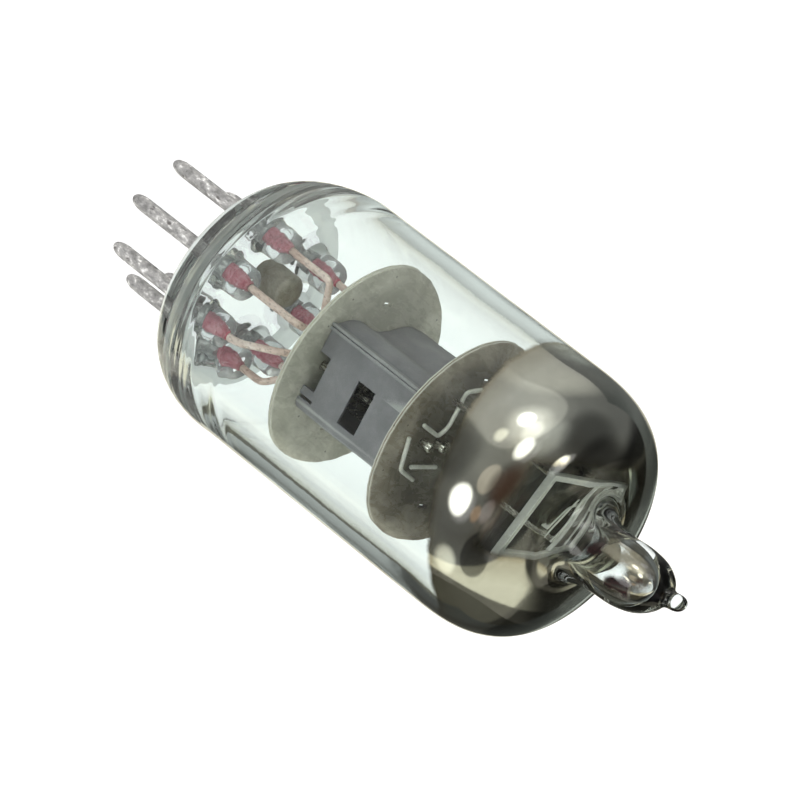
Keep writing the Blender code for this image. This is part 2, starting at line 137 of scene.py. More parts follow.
def polar(radius, azimuth, z):
    """A point from its distance to the axis, its azimuth and its height."""
    angle = radians(azimuth)
    return Vector((radius * cos(angle), radius * sin(angle), z))


def cage(across, along, z):
    """A point from its place in the cage: across the broad sides, along them, and up."""
    return Matrix.Rotation(radians(CAGE_TURN), 3, "Z") @ Vector((across, along, z))


PIN_AZIMUTHS = [FIRST_PIN_AZIMUTH + PIN_PITCH * i for i in range(PIN_COUNT)]
PIN_CENTRES = [polar(PIN_CIRCLE_RADIUS, azimuth, 0.0).xy for azimuth in PIN_AZIMUTHS]


def shade(mesh, angle):
    """Shade a mesh smooth, but for the edges sharper than an angle."""
    mesh.shade_smooth()
    mesh.set_sharp_from_angle(angle=radians(angle))


def add_object(name, bm, *finishes, smooth_angle=40.0, recalc=True):
    """Turn a bmesh in millimetres into a named object in metres."""
    if recalc:
        bmesh.ops.recalc_face_normals(bm, faces=bm.faces)
    bm.transform(Matrix.Scale(MM, 4))
    mesh = bpy.data.meshes.new(name)
    bm.to_mesh(mesh)
    bm.free()
    shade(mesh, smooth_angle)
    for finish in finishes:
        mesh.materials.append(finish)
    made = bpy.data.objects.new(name, mesh)
    bpy.context.scene.collection.objects.link(made)
    return made


def stand_for(piece, slot, *nodes):
    """Ride a piece on the tube's one body, in place of the CAD nodes it stands for."""
    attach(piece, "root")
    if nodes:
        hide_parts(*nodes)


def cut_out(target, bm):
    """Cut a shape out of the target's mesh."""
    cutter = add_object("cutter", bm)
    modifier = target.modifiers.new("cut", "BOOLEAN")
    modifier.object = cutter
    modifier.operation = "DIFFERENCE"
    modifier.solver = "EXACT"
    apply_modifiers(target)
    bpy.data.objects.remove(cutter, do_unlink=True)


def apply_modifiers(target):
    """Put the result of the target's modifiers into its mesh."""
    bpy.context.view_layer.update()
    graph = bpy.context.evaluated_depsgraph_get()
    mesh = bpy.data.meshes.new_from_object(target.evaluated_get(graph))
    old = target.data
    target.modifiers.clear()
    target.data = mesh
    mesh.name = target.name
    bpy.data.meshes.remove(old)


def bevel(target, width, segments=2, angle=40.0):
    """Round the target's sharp edges."""
    modifier = target.modifiers.new("bevel", "BEVEL")
    modifier.width = width * MM
    modifier.segments = segments
    modifier.limit_method = "ANGLE"
    modifier.angle_limit = radians(angle)
    apply_modifiers(target)
    shade(target.data, angle)


def smooth_curve(points, steps):
    """Catmull-Rom points through the given ones, with so many steps between each two."""
    ends = [2 * points[0] - points[1]] + list(points) + [2 * points[-1] - points[-2]]
    made = []
    for i in range(1, len(ends) - 2):
        p0, p1, p2, p3 = ends[i - 1], ends[i], ends[i + 1], ends[i + 2]
        for step in range(steps):
            t = step / steps
            bend = 2 * p0 - 5 * p1 + 4 * p2 - p3
            twist = 3 * p1 - p0 - 3 * p2 + p3
            made.append(0.5 * (2 * p1 + (p2 - p0) * t + bend * t * t + twist * t ** 3))
    made.append(points[-1].copy())
    return made


def rounded(path, radius, steps=5):
    """The path with each corner drawn round."""
    made = [path[0]]
    for before, corner, after in zip(path, path[1:], path[2:]):
        reach = min(radius, (corner - before).length * 0.45, (after - corner).length * 0.45)
        start = corner + (before - corner).normalized() * reach
        end = corner + (after - corner).normalized() * reach
        for step in range(steps + 1):
            t = step / steps
            made.append(start * (1 - t) ** 2 + corner * 2 * t * (1 - t) + end * t * t)
    made.append(path[-1])
    return made


def evenly(points, spacing):
    """The points along a path again, evenly spaced."""
    lengths = [0.0]
    for a, b in zip(points, points[1:]):
        lengths.append(lengths[-1] + (b - a).length)
    count = max(2, round(lengths[-1] / spacing))
    made = []
    k = 0
    for i in range(count + 1):
        want = lengths[-1] * i / count
        while k < len(points) - 2 and lengths[k + 1] < want:
            k += 1
        gap = lengths[k + 1] - lengths[k]
        made.append(points[k].lerp(points[k + 1], (want - lengths[k]) / gap if gap else 0.0))
    return made


def relaxed(points, rounds):
    """Soften a path's corners, with its ends left in place."""
    for _ in range(rounds):
        inner = [(a + 2 * b + c) / 4 for a, b, c in zip(points, points[1:], points[2:])]
        points = [points[0]] + inner + [points[-1]]
    return points


def turned(bm, profile, segments, place=None, centre=(0.0, 0.0)):
    """Turn a profile of (radius, z) points about an upright axis.

    place, if given, moves each point: it takes the point and its azimuth. The profile may start
    or end on the axis.
    """
    rings = []
    for radius, z in profile:
        ring = []
        for i in range(1 if radius < ON_AXIS else segments):
            azimuth = 360.0 * i / segments
            point = polar(radius, azimuth, z)
            if place:
                point = place(point, azimuth)
            ring.append(bm.verts.new(point + Vector((*centre, 0.0))))
        rings.append(ring)
    for low, high in zip(rings, rings[1:]):
        for i in range(segments):
            j = (i + 1) % segments
            lower = [low[i % len(low)], low[j % len(low)]]
            upper = [high[j % len(high)], high[i % len(high)]]
            corners = list(dict.fromkeys(lower + upper))
            if len(corners) > 2:
                bm.faces.new(corners)


def add_turned(name, profile, segments, finish, place=None, centre=(0.0, 0.0)):
    """A turned solid as an object, with a closed profile's ends joined."""
    bm = bmesh.new()
    turned(bm, profile, segments, place, centre)
    if profile[0] == profile[-1]:
        bmesh.ops.remove_doubles(bm, verts=bm.verts, dist=1e-5)
    return add_object(name, bm, finish)


def loft(bm, rings):
    """Faces over both ends of a row of rings, and between each ring and the next."""
    bm.faces.new(rings[0][::-1])
    bm.faces.new(rings[-1])
    for low, high in zip(rings, rings[1:]):
        for i in range(len(low)):
            j = (i + 1) % len(low)
            bm.faces.new((low[i], low[j], high[j], high[i]))


def prism(bm, outline, bottom, top):
    """An upright solid on a closed outline of (x, y) points."""
    loft(bm, [[bm.verts.new((x, y, z)) for x, y in outline] for z in (bottom, top)])


def block(bm, place, across, along, bottom, top):
    """A block from its two spans and two heights, in the terms of cage or getter_place."""
    left, right = across
    near, far = along
    corners = [(left, near), (right, near), (right, far), (left, far)]
    prism(bm, [place(a, d, 0.0).xy for a, d in corners], bottom, top)


def around(middle, half):
    """A span, from its middle and half its length."""
    return middle - half, middle + half


# The rings of a wire's rounded end: how far in each one is, and its radius, in wire radii
WIRE_END = ((0.06, 0.35), (0.11, 0.8), (0.4, 1.0))


def wire(bm, path, radius, sides):
    """A wire along a path, rounded at both ends."""
    first_way = (path[1] - path[0]).normalized()
    last_way = (path[-1] - path[-2]).normalized()
    stations = [(path[0] + first_way * radius * inset, first_way, size) for inset, size in WIRE_END]
    for before, point, after in zip(path, path[1:], path[2:]):
        stations.append((point, (after - before).normalized(), 1.0))
    for inset, size in WIRE_END[::-1]:
        stations.append((path[-1] - last_way * radius * inset, last_way, size))
    side_way = first_way.orthogonal()
    rings = []
    for point, forward, size in stations:
        side_way = (side_way - forward * side_way.dot(forward)).normalized()
        up_way = forward.cross(side_way)
        ring = []
        for s in range(sides):
            angle = 2 * pi * s / sides
            offset = side_way * cos(angle) + up_way * sin(angle)
            ring.append(bm.verts.new(point + offset * radius * size))
        rings.append(ring)
    loft(bm, rings)


def add_wire(name, path, radius, sides, finish):
    """A wire as an object."""
    bm = bmesh.new()
    wire(bm, path, radius, sides)
    return add_object(name, bm, finish)


# ---------------------------- materials


class Nodes:
    """A shader tree, with short ways to add the usual nodes."""

    def __init__(self, tree):
        self.tree = tree

    def add(self, kind, inputs=None, **settings):
        """A node, with its settings and what goes into its inputs."""
        node = self.tree.nodes.new(kind)
        for key, value in settings.items():
            setattr(node, key, value)
        self.fill(node, inputs or {})
        return node

    def fill(self, node, inputs):
        """Give a node's inputs their values, or link them to other nodes' outputs."""
        for key, value in inputs.items():
            if isinstance(value, bpy.types.NodeSocket):
                self.tree.links.new(value, node.inputs[key])
            else:
                node.inputs[key].default_value = value

    def coords(self, stretch=(1.0, 1.0, 1.0)):
        """Object coordinates in millimetres."""
        where = self.add("ShaderNodeTexCoord").outputs["Object"]
        scale = [s / MM for s in stretch]
        return self.add("ShaderNodeMapping", {"Scale": scale, "Vector": where}).outputs["Vector"]

    def noise(self, vector, scale, detail=4.0, roughness=0.55, distortion=0.0):
        node = self.add("ShaderNodeTexNoise", {
            "Vector": vector, "Scale": scale, "Detail": detail, "Roughness": roughness,
            "Distortion": distortion})
        return node.outputs["Fac"]

    def stirred(self, value, grain, amount):
        """A value, moved up and down by a noise."""
        return self.maths("MULTIPLY_ADD", self.maths("SUBTRACT", grain, 0.5), amount, value)

    def spots(self, where, scale, size, cloud, patches):
        """1 in small cells, where a cloudy noise is high enough."""
        cells = self.add("ShaderNodeTexVoronoi", {"Vector": where, "Scale": scale})
        within = self.span(cells.outputs["Distance"], *size, 1.0, 0.0, True)
        return self.maths("MULTIPLY", within, self.span(cloud, *patches, 0.0, 1.0, True))

    def ramp(self, value, stops):
        node = self.add("ShaderNodeValToRGB", {"Fac": value})
        ramp = node.color_ramp
        while len(ramp.elements) < len(stops):
            ramp.elements.new(0.5)
        for element, (place, colour) in zip(ramp.elements, stops):
            element.position = place
            element.color = (*colour, 1.0)
        return node.outputs["Color"]

    def span(self, value, low, high, to_low, to_high, smooth=False):
        """A value's span from low to high, spread over another span."""
        node = self.add("ShaderNodeMapRange", {
            "Value": value, "From Min": low, "From Max": high, "To Min": to_low, "To Max": to_high},
            interpolation_type="SMOOTHSTEP" if smooth else "LINEAR")
        return node.outputs["Result"]

    def maths(self, operation, *values):
        node = self.add("ShaderNodeMath", dict(enumerate(values)), operation=operation)
        return node.outputs["Value"]

    def vector(self, operation, *values):
        node = self.add("ShaderNodeVectorMath", dict(enumerate(values)), operation=operation)
        return node.outputs["Value" if operation in ("DOT_PRODUCT", "LENGTH") else "Vector"]

    def scaled(self, colour, factor):
        """A colour, fixed or linked, times a number."""
        node = self.add("ShaderNodeVectorMath", {0: colour, "Scale": factor}, operation="SCALE")
        return node.outputs["Vector"]

    def mix(self, factor, a, b, blend="MIX"):
        node = self.add("ShaderNodeMix", data_type="RGBA", blend_type=blend)
        self.fill(node, {"Factor": factor, "A": a, "B": b})
        return node.outputs["Result"]

    def either(self, factor, first, second):
        """The first shader where factor is 0, and the second where it is 1."""
        return self.add("ShaderNodeMixShader", {"Fac": factor, 1: first, 2: second}).outputs["Shader"]

    def bump(self, height, strength, distance):
        node = self.add("ShaderNodeBump", {
            "Height": height, "Strength": strength, "Distance": distance * MM})
        return node.outputs["Normal"]


def new_material(name):
    """A material, its nodes and its Principled shader."""
    made = bpy.data.materials.new(name)
    made.use_nodes = True
    return made, Nodes(made.node_tree), made.node_tree.nodes["Principled BSDF"]


def surface(name, stops, scale, roughness, metallic, grain, bump, stretch=(1.0, 1.0, 1.0), spots=None):
    """A mottled finish.

    stops colour a cloudy noise of the given scale, and grain is the scale of a finer one that
    roughens it. spots adds a colour in small cells: their scale, their edge and the colour.
    """
    made, nodes, shader = new_material(name)
    where = nodes.coords(stretch)
    cloud = nodes.noise(where, scale, 6.0, 0.6, 0.4)
    fine = nodes.noise(where, grain, 5.0, 0.65)
    colour = nodes.ramp(nodes.stirred(cloud, fine, 0.5), stops)
    height = fine
    if spots:
        spot_scale, spot_size, spot_colour = spots
        mask = nodes.spots(where, spot_scale, spot_size, cloud, (0.48, 0.6))
        colour = nodes.mix(mask, colour, (*spot_colour, 1.0))
        height = nodes.maths("SUBTRACT", fine, mask)
    nodes.fill(shader, {
        "Base Color": colour, "Roughness": nodes.span(fine, 0.3, 0.7, *roughness),
        "Metallic": metallic, "Normal": nodes.bump(height, *bump)})
    return made


def make_glass(name, tint, clear, roughness):
    """Blown glass, faintly green, with a few soft ripples."""
    made, nodes, shader = new_material(name)
    ripple = nodes.noise(nodes.coords(), 0.5, 3.0, 0.5)
    nodes.fill(shader, {
        "Base Color": (*tint, 1.0), "Transmission Weight": clear, "IOR": 1.5,
        "Roughness": roughness, "Normal": nodes.bump(ripple, 0.25, 0.02)})
    return made


def make_film():
    """The getter's mirror: dark bright metal that thins out to brown at its edge."""
    made, nodes, shader = new_material("getter_film")
    edge = nodes.add("ShaderNodeAttribute", attribute_name="film").outputs["Fac"]
    where = nodes.coords()
    wobble = nodes.noise(where, 0.9, 4.0, 0.6)
    fine = nodes.noise(where, 6.0, 4.0, 0.6)
    depth = nodes.stirred(nodes.stirred(edge, wobble, 0.5), fine, 0.12)
    cover = nodes.span(depth, 0.0, 0.42, 0.0, 1.0, True)
    tint = nodes.ramp(nodes.span(depth, 0.0, 2.2, 0.0, 1.0), (
        (0.0, (0.42, 0.34, 0.24)), (0.14, (0.48, 0.43, 0.34)), (0.3, (0.60, 0.57, 0.50)),
        (1.0, (0.78, 0.765, 0.715))))
    cloud = nodes.noise(where, 0.35, 4.0, 0.6)
    shade = nodes.ramp(cloud, ((0.3, (0.86, 0.86, 0.86)), (0.7, (1.0, 1.0, 1.0))))
    tint = nodes.mix(1.0, tint, shade, "MULTIPLY")
    stain = nodes.add("ShaderNodeAttribute", attribute_name="stain").outputs["Fac"]
    nodes.fill(shader, {
        "Base Color": nodes.mix(stain, tint, (0.022, 0.008, 0.008, 1.0)),
        "Metallic": nodes.maths("SUBTRACT", 1.0, stain),
        "Roughness": nodes.span(fine, 0.3, 0.7, 0.02, 0.08)})
    clear = nodes.add("ShaderNodeBsdfTransparent").outputs["BSDF"]
    output = nodes.tree.nodes["Material Output"]
    nodes.fill(output, {"Surface": nodes.either(cover, clear, shader.outputs["BSDF"])})
    return made


def make_anode():
    """Carbonised nickel: powdery blue-grey with bare scratched edges."""
    made, nodes, shader = new_material("anode_metal")
    where = nodes.coords()
    cloud = nodes.noise(where, 0.45, 5.0, 0.6, 0.3)
    powder = nodes.noise(where, 14.0, 6.0, 0.7)
    colour = nodes.ramp(nodes.stirred(cloud, powder, 0.9), (
        (0.2, (0.18, 0.175, 0.188)), (0.5, (0.243, 0.235, 0.248)), (0.8, (0.33, 0.318, 0.328))))
    edge = nodes.add("ShaderNodeNewGeometry").outputs["Pointiness"]
    worn = nodes.span(nodes.stirred(edge, powder, 0.12), 0.53, 0.62, 0.0, 0.75, True)
    nodes.fill(shader, {
        "Base Color": nodes.mix(worn, colour, (0.52, 0.52, 0.51, 1.0)),
        "Roughness": nodes.span(powder, 0.3, 0.7, 0.5, 0.8),
        "Metallic": 0.25, "Normal": nodes.bump(powder, 0.35, 0.02)})
    return made


def make_mica(name, stops, radii, shade_to_rim_light):
    """Split mica: satin, flaky and stained, with painted shade in its middle and painted light towards
    its rim.
    """
    made, nodes, shader = new_material(name)
    where = nodes.coords()
    cloud = nodes.noise(where, 0.28, 5.0, 0.62, 0.8)
    flakes = nodes.noise(nodes.coords((1.0, 0.35, 3.0)), 1.6, 6.0, 0.7, 0.5)
    colour = nodes.ramp(nodes.stirred(cloud, flakes, 0.4), stops)
    # Painted shade and light: the colour is scaled down in the middle, where the cage shades the disc,
    # and up towards the rim, lit through the glass.
    distance = nodes.vector("LENGTH", nodes.vector("MULTIPLY", where, (1.0, 1.0, 0.0)))
    distance = nodes.stirred(distance, cloud, 4.0)
    colour = nodes.scaled(colour, nodes.span(distance, *radii, *shade_to_rim_light, True))
    specks = nodes.spots(where, 1.1, (0.05, 0.1), cloud, (0.5, 0.56))
    nodes.fill(shader, {
        "Base Color": nodes.mix(specks, colour, (0.09, 0.08, 0.06, 1.0)),
        "Roughness": nodes.span(flakes, 0.3, 0.7, 0.16, 0.38),
        "Normal": nodes.bump(flakes, 0.3, 0.02)})
    return made


# The mottled finishes, each as what surface takes
SURFACES = (
    ("mica_edge", ((0.3, (0.46, 0.44, 0.38)), (0.7, (0.72, 0.70, 0.63))),
     1.3, (0.3, 0.5), 0.0, 9.0, (0.4, 0.03), (1.0, 1.0, 6.0)),
    ("pin_metal",
     ((0.25, (0.17, 0.165, 0.16)), (0.42, (0.30, 0.295, 0.29)), (0.56, (0.44, 0.43, 0.42)),
      (0.68, (0.92, 0.91, 0.89))),
     2.4, (0.25, 0.5), 0.35, 5.0, (0.8, 0.08), (1.0, 1.0, 0.6),
     (1.4, (0.18, 0.3), (0.16, 0.15, 0.145))),
    ("seal_copper",
     ((0.3, (0.40, 0.05, 0.09)), (0.5, (0.62, 0.12, 0.18)), (0.7, (0.82, 0.36, 0.40))),
     1.4, (0.2, 0.4), 0.1, 7.0, (0.3, 0.03)),
    ("lead_copper",
     ((0.3, (0.58, 0.42, 0.36)), (0.5, (0.76, 0.60, 0.53)), (0.7, (0.92, 0.80, 0.74))),
     0.7, (0.2, 0.42), 0.3, 5.0, (0.1, 0.02), (1.0, 1.0, 0.5)),
    ("nickel",
     ((0.3, (0.46, 0.44, 0.40)), (0.5, (0.66, 0.64, 0.59)), (0.7, (0.82, 0.80, 0.75))),
     1.0, (0.16, 0.36), 1.0, 9.0, (0.25, 0.02), (1.0, 1.0, 0.4)),
    ("cathode_coating", ((0.3, (0.62, 0.60, 0.54)), (0.7, (0.85, 0.83, 0.78))),
     1.5, (0.7, 0.9), 0.0, 12.0, (0.5, 0.03)),
    ("dark_metal",
     ((0.3, (0.24, 0.22, 0.185)), (0.5, (0.37, 0.345, 0.295)), (0.7, (0.50, 0.47, 0.41))),
     0.8, (0.35, 0.6), 0.5, 8.0, (0.3, 0.03)),
    ("bright_wire", ((0.3, (0.78, 0.77, 0.68)), (0.7, (0.97, 0.96, 0.88))),
     1.3, (0.14, 0.3), 0.25, 8.0, (0.2, 0.02)),
)


# The glasses, in make_glass's order, and the micas, in make_mica's
GLASSES = (
    ("bulb_glass", (0.925, 0.975, 0.955), 1.0, 0.0),
    ("base_glass", (0.85, 0.91, 0.875), 0.42, 0.2),
    ("sleeve_glass", (0.92, 0.94, 0.96), 0.88, 0.04),
)
# Each mica: its colour stops, then the radii between which its colour goes from painted shade in the
# middle to painted light at the rim, and the factors at each end.
MICAS = (
    ("lower_mica", (
        (0.25, (0.38, 0.365, 0.295)), (0.45, (0.48, 0.465, 0.385)), (0.6, (0.56, 0.54, 0.455)),
        (0.8, (0.68, 0.655, 0.575))), (4.5, 7.2), (0.95, 1.3)),
    ("upper_mica", (
        (0.25, (0.20, 0.165, 0.125)), (0.45, (0.28, 0.24, 0.185)), (0.6, (0.36, 0.315, 0.25)),
        (0.8, (0.46, 0.41, 0.34))), (4.6, 7.0), (0.5, 1.25)),
)


def make_materials():
    """Every finish, by its name."""
    made = {"getter_film": make_film(), "anode_metal": make_anode()}
    for maker, looks in ((make_glass, GLASSES), (make_mica, MICAS), (surface, SURFACES)):
        for name, *look in looks:
            made[name] = maker(name, *look)
    return made


# ---------------------------- glass


def corner_curve(inner, outer, flat_z, side_z, power, steps):
    """A rounded corner in (radius, z), from the flat end at inner to the side at outer."""
    made = []
    for step in range(steps + 1):
        angle = pi / 2 * step / steps
        reach = sin(angle) ** power
        rise = 1.0 - cos(angle) ** power
        made.append(Vector((inner + (outer - inner) * reach, flat_z + (side_z - flat_z) * rise)))
    return made


def glass_path(foot, crown, wall, tip, spacing):
    """One side of the glass: from its foot over both rounded corners of the bulb to the tip.

    wall is how far in from the bulb's outside the side is. The base is thicker than the wall.
    """
    radius = BULB_RADIUS - wall
    bottom = SKIRT_BOTTOM + (SKIRT_THICKNESS if wall else 0.0)
    top = SHOULDER_TOP - wall
    path = [Vector(point) for point in foot]
    path += corner_curve(SKIRT_HOLE_RADIUS, radius, bottom, SKIRT_TOP, SKIRT_POWER, 40)
    path += corner_curve(crown, radius, top, SHOULDER_BOTTOM, SHOULDER_POWER, 40)[:0:-1]
    path += smooth_curve([Vector(point) for point in ((crown, top), *tip)], 8)
    return relaxed(evenly(path, spacing), 4)


def outer_profile():
    """The outside of the glass, from the middle of its underside to the end of the tip."""
    foot = ((0.0, BASE_BOTTOM), (5.2, BASE_BOTTOM), (5.5, BASE_BOTTOM + 0.05))
    tip = (
        (3.15, 40.5), (2.62, 41.05), (2.33, 42.0), (2.22, 43.2), (2.22, 44.7), (1.95, 46.1),
        (1.35, 47.1), (0.78, 47.55), (0.56, 47.9), (0.6, 48.4), (0.5, 48.82), (0.24, 49.05),
        (0.0, TIP_END))
    return glass_path(foot, CROWN_RADIUS, 0.0, tip, 0.16)


def inner_profile():
    """The cavity's wall, from the middle of the stem's top to the end inside the tip."""
    foot = ((0.0, STEM_TOP), (5.3, STEM_TOP))
    tip = ((2.4, 39.5), (1.7, 40.3), (1.3, 41.8), (1.15, 44.7), (0.7, 46.0), (0.0, 46.4))
    return glass_path(foot, CROWN_INNER_RADIUS, BULB_WALL, tip, 0.24)


def leaned(point):
    """Lean the tip and the base's corner as they were blown."""
    rise = max((point.z - SHOULDER_TOP) / (TIP_END - SHOULDER_TOP), 0.0)
    drop = max((SKIRT_TOP - point.z) / (SKIRT_TOP - SKIRT_BOTTOM), 0.0)
    spread = (point.xy.length - SKIRT_HOLE_RADIUS) / (BULB_RADIUS - SKIRT_HOLE_RADIUS)
    return point + Vector((TIP_LEAN * rise ** 2 + SKIRT_LEAN * drop * max(spread, 0.0), 0.0, 0.0))


# The rings where the stem was sealed to the bulb, and the low ridges above them: each ridge's
# height on the tube, its width and how far it stands out
SEAL_RING_Z = 10.2
SEAL_RING_SPREAD = 1.5
RIDGES = ((13.0, 0.32, 0.10), (15.2, 0.4, 0.08))


def ripples(z, azimuth, amount):
    """How far the glass stands out in the rings where the stem was sealed to the bulb."""
    near = exp(-((z - SEAL_RING_Z) / SEAL_RING_SPREAD) ** 2)
    angle = radians(azimuth)
    wander = 0.35 * sin(2 * angle + 0.7) + 0.2 * sin(5 * angle + 2.1)
    waves = sin(2 * pi * (z + wander * 0.4) / 0.62)
    waves += 0.6 * sin(2 * pi * (z - wander * 0.3) / 0.37)
    return amount * near * waves


def ridges(z, azimuth):
    """Two low rings inside the wall's flanks, where it was drawn down to the stem."""
    swing = 0.6 * sin(radians(azimuth + 40.0))
    flank = abs(cos(radians(azimuth))) ** 1.5
    total = 0.0
    for middle, width, height in RIDGES:
        total += height * exp(-((z - middle - swing) / width) ** 2)
    return flank * total


def outward(point):
    """The level direction away from the axis, or nothing on the axis."""
    return Vector((point.x, point.y, 0.0)).normalized()


def outer_place(point, azimuth):
    """The outside's own small unevenness: waves, seal rings and a collar round each pin."""
    radius = point.xy.length
    if radius > 5.9:
        out = 0.012 * noise.noise(point * 0.22) + ripples(point.z, azimuth, 0.018)
        point = point + outward(point) * min(out, 0.0)
    if point.z < UNDERSIDE_TOP and radius < UNDERSIDE_RADIUS:
        for centre in PIN_CENTRES:
            away = (point.xy - centre).length / COLLAR_RADIUS
            point = point - Vector((0.0, 0.0, COLLAR_DROP * exp(-away ** 4)))
    return leaned(point)


def inner_place(point, azimuth):
    """The cavity's own unevenness."""
    flat_radius = 5.2
    radius = point.xy.length
    if radius > flat_radius:
        out = 0.02 * noise.noise(point * 0.2 + Vector((7.0, 3.0, 1.0)))
        out += ripples(point.z, azimuth, 0.045) + ridges(point.z, azimuth)
        point = point + outward(point) * out * min((radius - flat_radius) / 0.6, 1.0)
    return leaned(point)


# The side of a glass sleeve, as (radius, z)
SLEEVE_SIDE = (
    (1.55, SLEEVE_BOTTOM), (1.5, 9.42), (1.28, 9.7), (1.2, 10.2), (1.18, 10.9), (1.16, 11.5),
    (1.08, 11.85), (0.8, 12.03), (0.4, SLEEVE_TOP))


def build_envelope(finishes):
    """The bulb, stem and sleeves as one piece of glass with a hollow in it."""
    hollow = bmesh.new()
    turned(hollow, inner_profile(), GLASS_SEGMENTS, inner_place)
    cavity = add_object("cavity", hollow)
    sleeves = bmesh.new()
    side = relaxed(evenly([Vector(point) for point in SLEEVE_SIDE], 0.1), 2)
    shape = [(0.0, SLEEVE_BOTTOM), *side, (0.0, SLEEVE_TOP)]
    for number, centre in enumerate(PIN_CENTRES):
        grow = 1.0 + 0.06 * sin(2.3 * number + 0.5)
        rise = 0.072 * sin(1.7 * number + 1.0)
        own = [(r * grow, z + max(z - SLEEVE_FOOT, 0.0) * rise) for r, z in shape]
        turned(sleeves, own, 40, None, centre)
    cut_out(cavity, sleeves)
    whole = bmesh.new()
    whole.from_mesh(cavity.data)
    whole.transform(Matrix.Scale(1 / MM, 4))
    bmesh.ops.reverse_faces(whole, faces=whole.faces)
    outside = bmesh.new()
    turned(outside, outer_profile(), GLASS_SEGMENTS, outer_place)
    bmesh.ops.recalc_face_normals(outside, faces=outside.faces)
    shell = bpy.data.meshes.new("shell")
    outside.to_mesh(shell)
    outside.free()
    whole.from_mesh(shell)
    bpy.data.meshes.remove(shell)
    bpy.data.objects.remove(cavity, do_unlink=True)
    glasses = [finishes[name] for name in ("bulb_glass", "base_glass", "sleeve_glass")]
    envelope = add_object("envelope", whole, *glasses, smooth_angle=50.0, recalc=False)
    for face in envelope.data.polygons:
        middle = face.center / MM
        sleeve_away = min((middle.xy - centre).length for centre in PIN_CENTRES)
        if middle.z < BASE_GLASS_TOP and middle.xy.length > BASE_GLASS_RADIUS:
            face.material_index = 1
        elif middle.z < SLEEVE_TOP + 0.6 and sleeve_away < SLEEVE_REACH:
            face.material_index = 2
    stand_for(envelope, "bulb_glass", "glass_bulb", "stem_button")


# The film: where its sheet starts, its mean lower edge, the neck it is thin in, and how far it
# is off the glass. Its clear window over the getter is a polygon seen from above, and its
# stains are round, with one radius.
FILM_BOTTOM = 28.4
FILM_EDGE = 33.4
FILM_NECK_RADIUS = 2.1
FILM_NECK_BOTTOM = 41.2
FILM_DEPTH = 0.03
STAIN_RADIUS = 0.75
FILM_WINDOW = (
    (-2.2, -6.6), (0.9, -6.8), (3.5, -6.2), (2.6, -3.3), (2.1, -0.5), (0.6, 2.4), (-2.2, 2.9),
    (-4.6, 2.9), (-5.2, 1.2), (-3.5, -4.6))
FILM_STAINS = ((-0.35, -1.2, 42.4), (0.55, -0.85, 44.5), (0.45, -0.8, 45.2))


def window_distance(x, y):
    """How far a point is outside the film's window, and negative within it."""
    nearest = 1e9
    within = False
    place = Vector((x, y))
    for i, corner in enumerate(FILM_WINDOW):
        a = Vector(corner)
        b = Vector(FILM_WINDOW[(i + 1) % len(FILM_WINDOW)])
        along = max(0.0, min(1.0, (place - a).dot(b - a) / (b - a).length_squared))
        nearest = min(nearest, (place - a.lerp(b, along)).length)
        if (a.y > y) != (b.y > y) and x < a.x + (b.x - a.x) * (y - a.y) / (b.y - a.y):
            within = not within
    return -nearest if within else nearest


def film_edge(azimuth):
    """The height of the film's lower edge: slanted, with a tongue that runs far down."""
    slant = 2.5 * sin(azimuth + radians(93.0))
    tongue = 5.4 * max(cos(azimuth - radians(74.0)), 0.0) ** 1.3
    return FILM_EDGE + slant - tongue


def build_film(finish):
    """The getter's mirror, a sheet just within the dome's glass, with its cover in an attribute.

    A second attribute marks the dark red stains in the neck and at the end of the tip.
    """
    profile = [p for p in inner_profile() if p.y > FILM_BOTTOM]
    moved = []
    for k, point in enumerate(profile):
        before = profile[max(k - 1, 0)]
        after = profile[min(k + 1, len(profile) - 1)]
        along = (after - before).normalized()
        moved.append((point.x + along.y * FILM_DEPTH, point.y - along.x * FILM_DEPTH))
    bm = bmesh.new()
    turned(bm, moved, GLASS_SEGMENTS, inner_place)
    film_layer = bm.verts.layers.float.new("film")
    stain_layer = bm.verts.layers.float.new("stain")
    for vert in bm.verts:
        place = vert.co
        above = place.z - film_edge(atan2(place.y, place.x))
        cover = min(above, window_distance(place.x, place.y), place.xy.length - FILM_NECK_RADIUS)
        nearest = min((place - Vector(stain)).length for stain in FILM_STAINS)
        stain = STAIN_RADIUS - nearest + 0.4 * noise.noise(place * 1.1)
        veil = 0.12 + 0.5 * noise.noise(place * 0.8) if place.z > FILM_NECK_BOTTOM else -1.0
        vert[film_layer] = max(cover, stain, veil)
        vert[stain_layer] = 1.0 if stain > max(cover, veil) else 0.0
    stand_for(add_object("getter_mirror", bm, finish, smooth_angle=60.0, recalc=False), "bulb_glass")


# ---------------------------- metal and mica


